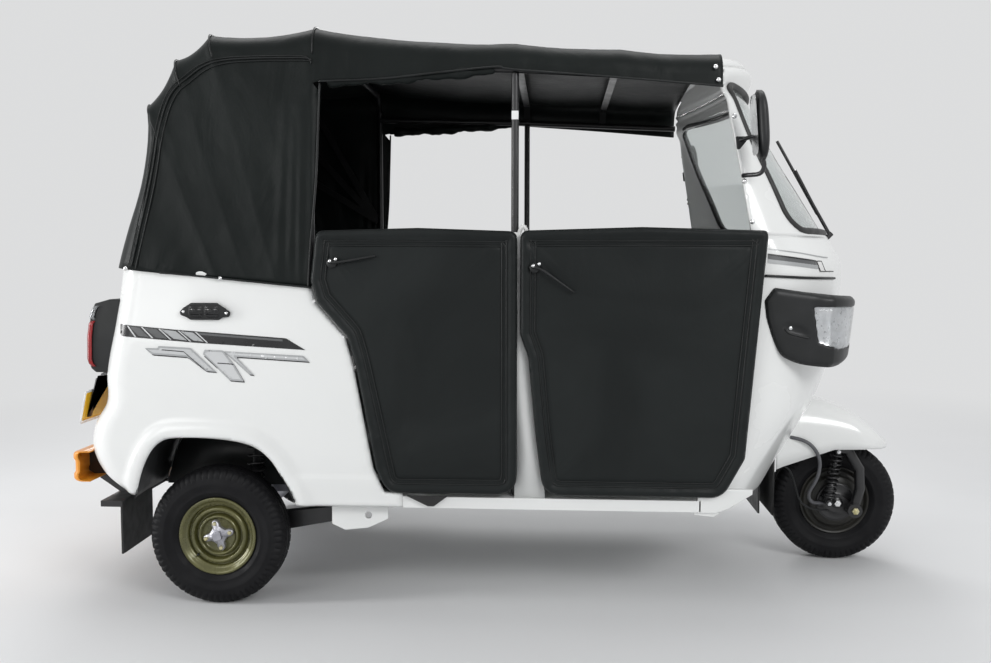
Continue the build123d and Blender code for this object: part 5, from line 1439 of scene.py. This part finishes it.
def wheel(name, body, x, y, out):
    centre = (x, y, TYRE_R)
    piece(f"{name}_tyre_skin", *lathe(tyre_profile(), centre, "Y", TURNS, tread, caps=False), tyre_rubber,
          body, (f"{name}_tyre",))
    rim = [(r, out * a) for r, a in RIM]
    back = [(r, out * a) for r, a in RIM_BACK]
    barrel = [(118, out * 39), (118, out * 34.3), (103.5, out * 34), (103.5, -out * 34), (118, -out * 34.3),
              (118, -out * 39)]
    shape = join_shapes([lathe(line, centre, "Y", RIM_TURNS, caps=False) for line in (barrel, rim, back)])
    # The front rim takes the near-black finish as painted shade for the shadow under the mudguard; the rear
    # rims are olive.
    piece(f"{name}_rim_skin", *shape, dark_rim if name == "front" else olive_paint, body, (f"{name}_rim",))
    lobes, levels = [], ((1.0, 17), (1.0, 29), (0.95, 32), (0.62, 33), (0.5, 36), (0.42, 37))
    for r_scale, level in levels:
        for k in range(RIM_TURNS):
            turn = 2 * pi * k / RIM_TURNS
            r = (28 + 20 * max(0.0, cos(4 * turn)) ** 0.8 - 3 * max(0.0, -cos(4 * turn))) * r_scale
            lobes.append((x + r * cos(turn + HUB_TURN), y + out * level, TYRE_R + r * sin(turn + HUB_TURN)))
    faces = grid_faces(len(levels), RIM_TURNS, wrap=True)
    faces.append(tuple((len(levels) - 1) * RIM_TURNS + k for k in range(RIM_TURNS)))
    square = [(x + a * cos(HUB_TURN) - b * sin(HUB_TURN), TYRE_R + a * sin(HUB_TURN) + b * cos(HUB_TURN))
              for a, b in ((-13, -13), (13, -13), (13, 13), (-13, 13))]
    cap = slab(round_corners(square, 6, 4), "XZ", y + out * 34, y + out * 46, 2)
    nuts = [lathe(((6.5, out * 28), (6.5, out * 38), (5, out * 39.5), (0.01, out * 39.5)),
                  (x + 38 * cos(pi / 2 * k + HUB_TURN), y, TYRE_R + 38 * sin(pi / 2 * k + HUB_TURN)), "Y",
                  6) for k in range(4)]
    piece(f"{name}_hub_star", lobes, faces, cast_metal, body)
    piece(f"{name}_hub_cap", *cap, cast_metal, body, smooth=False)
    piece(f"{name}_hub_nuts", *join_shapes(nuts), zinc, body, smooth=False)
    valve = tube([(x - 62, y + out * 22, TYRE_R - 60), (x - 60, y + out * 40, TYRE_R - 58),
                  (x - 56, y + out * 48, TYRE_R - 54)], 3.4, 10)
    piece(f"{name}_valve", *valve, black_plastic, body)


# ---------------------------------------------------------------- suspension and steering
def coil(foot, head, radius, wire, turns):
    foot, head = Vector(foot), Vector(head)
    along = (head - foot)
    axis = along.normalized()
    side = axis.cross(Vector((0, 1, 0))).normalized()
    other = axis.cross(side)
    line = []
    for k in range(turns * 20 + 1):
        turn = 2 * pi * k / 20
        line.append(foot + along * (k / (turns * 20)) + side * radius * cos(turn) + other * radius * sin(turn))
    return tube(line, wire, 8, step=50.0)


def damper(name, foot, head, radius, turns, body, node=None):
    foot, head = Vector(foot), Vector(head)
    way = head - foot
    stages = ((0.0, 0.45, radius * 0.62), (0.45, 0.93, radius * 0.40), (0.10, 0.13, radius),
              (0.90, 0.93, radius))
    shapes = [tube([foot + way * a, foot + way * b], r, 24, step=500.0) for a, b, r in stages]
    piece(f"{name}_body", *join_shapes(shapes), black_paint, body, (node,) if node else ())
    piece(f"{name}_spring", *coil(foot + way * 0.14, foot + way * 0.89, radius - 3.6, 3.5, turns),
          black_paint, body)


# Routes in metres: control points of the smooth line, from the body to the fork.
HOSE_ROUTE = ((0.930, -0.168, 0.450), (0.968, -0.180, 0.446), (1.006, -0.184, 0.420), (1.030, -0.178, 0.372),
              (1.026, -0.160, 0.310), (1.000, -0.134, 0.252), (1.018, -0.108, 0.216), (1.048, -0.086, 0.207),
              (1.075, -0.072, 0.207))
CABLE_ROUTE = ((0.900, -0.160, 0.356), (0.930, -0.166, 0.348), (0.950, -0.162, 0.290), (0.970, -0.150, 0.226),
               (1.012, -0.126, 0.198), (1.052, -0.102, 0.188), (1.080, -0.084, 0.184))


def spline_points(route):
    """Points along the smooth line whose control points are the route."""
    data = bpy.data.curves.new("route", "CURVE")
    data.dimensions = "3D"
    data.resolution_u = 8
    spline = data.splines.new("NURBS")
    spline.points.add(len(route) - 1)
    for point, place in zip(spline.points, route):
        point.co = (*place, 1.0)
    spline.order_u = 3
    spline.use_endpoint_u = True
    holder = bpy.data.objects.new("route", data)
    bpy.context.scene.collection.objects.link(holder)
    bpy.context.view_layer.update()
    mesh = bpy.data.meshes.new_from_object(holder)
    points = [tuple(v.co) for v in mesh.vertices]
    bpy.data.objects.remove(holder)
    return points


def cord_piece(name, route, diameter, material):
    """A line from the body to the fork."""
    points = spline_points(route)
    line = [tuple(v / MM for v in p) for p in points]
    obj = piece(name, *tube(line, diameter / MM / 2, 14, step=5.0), material)
    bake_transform(obj)
    return obj


def steering_gear():
    damper("front_damper", (1078, -96, 214), (1106, -96, 392), 22, 9, "steering", "front_damper")
    for k, (px, py, pz, r) in enumerate(((1165, -122, 190, 12), (1078, -118, 214, 8), (1106, -114, 392, 8),
                                         (1115.5, -83, 207.5, 13))):
        nut = lathe(((r, 6), (r, -3), (r * 0.8, -5), (r * 0.45, -5), (r * 0.45, -10), (0.01, -10)),
                    (px, py, pz), "Y", 6)
        piece(f"fork_nut_{k}", *nut, zinc if k == 0 else bright_metal, "steering", smooth=False)
    ribs = lathe(((66, -55), (66, -62), (60, -63.5), (56, -62.5), (40, -63), (36, -65), (22, -65), (20, -74),
                  (0.01, -74)),
                 (1115.5, 0, 207.5), "Y", 64, caps=False)
    piece("brake_plate", *ribs, black_paint, "steering")
    cord_piece("brake_hose", HOSE_ROUTE, 0.012, hose_grey)
    cord_piece("speed_cable", CABLE_ROUTE, 0.0064, black_plastic)
    flap = slab(round_corners(((874, 184), (880, 184), (880, 382), (874, 382)), 2, 2), "XZ", -172, 172, 1)
    piece("front_flap_sheet", *flap, seal_rubber, "body")
    top = Vector((1210.5 - 930 * tan(radians(22)), 0, 930))
    for side, sign in SIDES:
        a, b = top + Vector((-16, sign * 150, 34)), top + Vector((-96, sign * 330, 20))
        way = (b - a)
        grip = tube([a + way * 0.38, b + way * 0.02], lambda f: 17.5 + 0.9 * sin(70 * f), 20, step=3.0)
        piece(f"grip_{side}", *grip, seal_rubber, "steering")
        pivot = a + way * 0.26 + Vector((24, 0, 4))
        reach = [pivot, pivot + Vector((26, sign * 30, 2)), b + Vector((52, -sign * 26, 4)),
                 b + Vector((40, sign * 2, 4))]
        piece(f"lever_{side}", *tube(reach, lambda f: 5.5 - 1.5 * f, 12, flat=1.3), bright_metal, "steering")
        box = lathe(((20, -14), (21, -10), (21, 10), (20, 14)), tuple(a + way * 0.24), "Y", 24)
        piece(f"switch_box_{side}", *box, black_plastic, "steering")


def rear_suspension():
    for side, sign in SIDES:
        damper(f"rear_damper_{side}", (-800, sign * 476, 262), (-775, sign * 476, 556), 29, 9, "body",
               "rear_dampers" if side == "left" else None)
        profile = [(30 + 7 * (k % 2) - 0.8 * k, sign * (404 + k * 6)) for k in range(9)]
        boot = lathe(profile, (REAR_AXLE_X, 0, TYRE_R), "Y", 40)
        piece(f"shaft_boot_{side}", *boot, seal_rubber, "body")


# ---------------------------------------------------------------- lamps, plate, bumper, mirrors
TAIL = ((-1155, 700), (-1155, 922), (-1192, 921), (-1238, 908), (-1252, 871), (-1261, 810), (-1263, 740),
        (-1254, 712), (-1240, 700))
TAIL_LENSES = (("red", 718, 856), ("clear", 861, 902))


def tail_lamps():
    """A black housing wrapped by a tall red lens with a small clear one over it."""
    for side, sign in SIDES:
        housing = slab(round_corners(TAIL, 9, 3), "XZ", sign * 480, sign * 598, 6)
        piece(f"tail_housing_{side}", *housing, black_plastic, "body",
              ("tail_lamps",) if side == "left" else ())
        for name, low, high in TAIL_LENSES:
            rows = []
            zs = np.linspace(low, high, 18)
            xs = np.interp(zs, (700, 712, 740, 810, 871, 908), (-1240, -1254, -1263, -1261, -1252, -1238))
            plan = [(y, 0.0) for y in np.linspace(489, 588, 24)]
            plan += [(588 + 12 * sin(pi / 16 * k), 12 - 12 * cos(pi / 16 * k)) for k in range(1, 9)]
            plan += [(600, v) for v in (15, 18)]
            for z, xr in zip(zs, xs):
                edge = min((z - low) / 7, (high - z) / 7, 1.0)
                rows += [(xr - 4.5 * sqrt(max(edge, 0)) + v + 1,
                          sign * (y + 2.4 * sqrt(max(edge, 0)) * (v > 0)), z) for y, v in plan]
            piece(f"tail_lens_{name}_{side}", rows, grid_faces(18, len(plan)),
                  red_lens if name == "red" else clear_lens,
                  "body", shell=2.0)


def plate():
    """Blank yellow plate with a white border on both faces, two straps and a lamp over it."""
    top, low = (-1279, 642), (-1300, 540)

    def plate_at(y, z, lift):
        return float(np.interp(z, (low[1], top[1]), (low[0], top[0]))) - lift, y, z

    corners = ((-588, 540), (-303, 540), (-303, 642), (-588, 642))
    flat, faces, _ = trimmed_grid([round_corners(corners, 8, 4)], 8.0)
    piece("plate_sheet", [plate_at(y, z, 0.0) for y, z in flat], faces, white_sheet, "body",
          ("number_plate",), shell=2.0)
    inner = round_corners([tuple(p) for p in inset_polygon(np.array(corners, dtype=float), 8.0)], 6, 4)
    flat, faces, _ = trimmed_grid([inner], 8.0)
    for name, lift in (("field", 1.7), ("back", -1.7)):
        piece(f"plate_{name}", [plate_at(y, z, lift) for y, z in flat], faces, yellow_sheet, "body",
              shell=0.8)
    for k, y in enumerate((-540, -360)):
        strap = slab(((-1216, 688), (-1216, 682), (-1262, 676), (-1294, 556), (-1288, 556), (-1256, 684)),
                     "XZ", y - 11, y + 11, 0.5)
        piece(f"plate_strap_{k}", *strap, black_paint, "body")
    lamp = slab(round_corners(((-1272, 668), (-1216, 672), (-1216, 690), (-1262, 690), (-1276, 682)), 5, 3),
                "XZ", -490, -410, 3)
    piece("plate_lamp", *lamp, black_plastic, "body")


def bumper_trim():
    """The channel of the rear bumper, with a shallow trough along its face."""
    section = ((-1264, 366), (-1308, 366), (-1318, 369), (-1322.5, 376), (-1322.5, 388), (-1317, 396),
               (-1317, 428), (-1322.5, 436), (-1322.5, 448), (-1318, 455), (-1308, 458), (-1264, 458))
    ends = [580, 588, 595, 600, 603, 604.5]
    ys = [-y for y in reversed(ends)] + list(np.linspace(-560, 560, 29)) + ends
    rows = []
    for y in ys:
        over = max(0.0, abs(y) - 580) / 24.5
        back = 22 * (1 - sqrt(max(0.0, 1 - over ** 2)))
        rows += [(min(x + back, -1264), y, z) for x, z in section]
    piece("bumper_channel", rows, grid_faces(len(ys), len(section)), orange_paint, "body", ("rear_bumper",),
          shell=3.0,
          away=(-1285, 0, 412))


def mirrors():
    """Tall slim shells leaning in at the top, each on a bent stem and a bracket."""
    for side, sign in SIDES:
        rows, n = [], 48
        for f in np.linspace(-1, 1, 25):
            width = 54 * (1 - abs(f) ** 4) ** 0.5 + 0.5
            middle = 711 - 7 * f
            for k in range(n):
                t = 2 * pi * k / n
                u = abs(cos(t)) ** 0.7 * (1 if cos(t) > 0 else -1)
                v = abs(sin(t)) ** 0.8 * (1 if sin(t) > 0 else -1)
                rows.append((middle + 18 * v * (1 - 0.6 * abs(f) ** 3), sign * (672 + width * u),
                             1414 + 96 * f))
        faces = grid_faces(25, n, wrap=True)
        faces += [tuple(range(n - 1, -1, -1)), tuple(24 * n + k for k in range(n))]
        extra = ("mirrors",) if side == "left" else ()
        piece(f"mirror_shell_{side}", rows, faces, black_plastic, "body", extra)
        glass = round_corners([(sign * 672 + a, 1414 + b)
                               for a, b in ((-44, -82), (44, -82), (44, 82), (-44, 82))], 26, 6)
        flat, faces, _ = trimmed_grid([glass], 8.0)
        piece(f"mirror_glass_{side}", [(692.2 - 7 * (z - 1414) / 96, y, z) for y, z in flat], faces,
              bright_metal, "body")
        stem = [(722, sign * 652, 1326), (727, sign * 648, 1302), (718, sign * 634, 1284),
                (690, sign * 606, 1282), (680, sign * 590, 1282)]
        piece(f"mirror_stem_{side}", *tube(stem, 6.5, 14), black_paint, "body")
        arm = [(664, sign * 592, 1380), (680, sign * 612, 1384), (700, sign * 640, 1388)]
        piece(f"mirror_arm_{side}", *tube(arm, 6.0, 12), black_paint, "body")
        foot = slab(round_corners(((656, 1392), (690, 1392), (690, 1384), (668, 1356), (660, 1356)), 3, 2),
                    "XZ",
                    sign * 592, sign * 602, 2)
        piece(f"mirror_foot_{side}", *foot, black_plastic, "body")


# ---------------------------------------------------------------- cabin and small parts
def cabin():
    dial = lathe(((46, 0), (46, 12), (42, 14), (40, 10), (0.01, 10)), (935, 0, 1104), "Z", 48)
    piece("speed_dial_case", *dial, black_plastic, "body")
    face = lathe(((39, 10.5), (0.01, 10.5)), (935, 0, 1104), "Z", 48)
    piece("speed_dial_face", *face, dark_film, "body")
    ticks = []
    for k in range(13):
        t = radians(-40 + 260 / 12 * k)
        a, b = 30 if k % 2 else 27, 36
        u, w = Vector((cos(t), sin(t), 0)), Vector((-sin(t), cos(t), 0)) * 0.8
        base = Vector((935, 0, 1115))
        quad = [base + u * a - w, base + u * b - w, base + u * b + w, base + u * a + w]
        ticks.append(([tuple(p) for p in quad], [(0, 1, 2, 3)]))
    piece("speed_dial_ticks", *join_shapes(ticks), white_sheet, "body")
    for name, x0, x1 in (("rear", -400, -20), ("front", 380, 560)):
        rows, count = [], int((x1 - x0) / 6)
        for k in range(count + 1):
            x = x0 + (x1 - x0) * k / count
            for y in (-560, -280, 0, 280, 560):
                if name == "front" and abs(y) > 540:
                    y *= 0.95
                rows.append((x, y, 346.5 + 2.2 * (0.5 + 0.5 * sin(k * pi / 2))))
        piece(f"floor_mat_{name}", rows, grid_faces(count + 1, 5), seal_rubber, "body", shell=1.2)
    for side, sign in SIDES:
        bezel = ((-955, 887), (-944, 899), (-920, 914), (-843, 914), (-819, 898), (-803, 886), (-808, 873),
                 (-826, 872), (-838, 864), (-922, 864), (-938, 873), (-952, 878))
        extra = ("side_vents",) if side == "left" else ()
        piece(f"vent_bezel_{side}", *slab(round_corners(bezel, 5, 3), "XZ", sign * 648, sign * 654, 2),
              black_plastic, "body", extra)
        for k, (x0, x1) in enumerate(((-927, -884), (-879, -836))):
            hole = round_corners(((x0, 870), (x1, 870), (x1, 908), (x0, 908)), 10, 4)
            # Painted shade: a thin dark sheet on the bezel in each opening stands for the dark inside of the
            # vent behind its ribs.
            piece(f"vent_painted_shade_{side}_{k}", *slab(hole, "XZ", sign * 653, sign * 654.6), dark_film, "body")
            ribs = [slab(((x0 + 2, z), (x1 - 2, z), (x1 - 2, z + 3), (x0 + 2, z + 3)), "XZ", sign * 654,
                         sign * 655.8)
                    for z in (876, 883, 890, 897)]
            piece(f"vent_ribs_{side}_{k}", *join_shapes(ribs), black_plastic, "body", smooth=False)
        for k, (x, z) in enumerate(((-943, 888), (-815, 884))):
            stud(f"vent_screw_{side}_{k}", ((4.5, 0), (4, 1.4), (0.01, 1.6)), x, 654, z, sign)
        toe = ((560, 309), (612, 309), (648, 322), (684, 345), (716, 366), (716, 380), (560, 380))
        piece(f"sill_toe_{side}", *slab(round_corners(toe, 8, 3, only=(1, 2, 3)), "XZ", sign * 626,
                                        sign * 640, 4), white_paint, "body")
        lug = ((546, 314), (552, 301), (606, 296), (634, 314))
        piece(f"sill_lug_{side}", *slab(round_corners(lug, 5, 3), "XZ", sign * 606, sign * 632, 3),
              white_paint, "body")
        post = ((28, 345), (118, 345), (96, 560), (62, 800), (44, 1120), (10, 1120), (10, 800), (28, 560))
        piece(f"centre_post_{side}", *slab(post, "XZ", sign * 628.6, sign * 629.6), white_paint, "body")
        clip = slab(((16, 1445), (36, 1445), (36, 1470), (16, 1470)), "XZ", sign * 590, sign * 597, 2)
        piece(f"pillar_clip_{side}", *clip, white_sheet, "body")
        hook = tube([(30, sign * 600, 1040), (34, sign * 606, 1080), (40, sign * 606, 1120),
                     (52, sign * 606, 1138),
                     (62, sign * 606, 1122)], 6.0, 12)
        piece(f"pillar_hook_{side}", *hook, white_sheet, "body")


def main():
    studio()
    dress_nodes()
    camera()
    for side, sign in SIDES:
        rear_side(side, sign)
        side_stripes(side, sign)
        nose_stripes(side, sign)
        pod(side, sign)
    rear_skin()
    cowl()
    screen_frame()
    fender()
    hood()
    hood_trim()
    doors()
    seats()
    for entry in WHEELS:
        wheel(*entry)
    steering_gear()
    rear_suspension()
    tail_lamps()
    plate()
    bumper_trim()
    mirrors()
    cabin()


main()
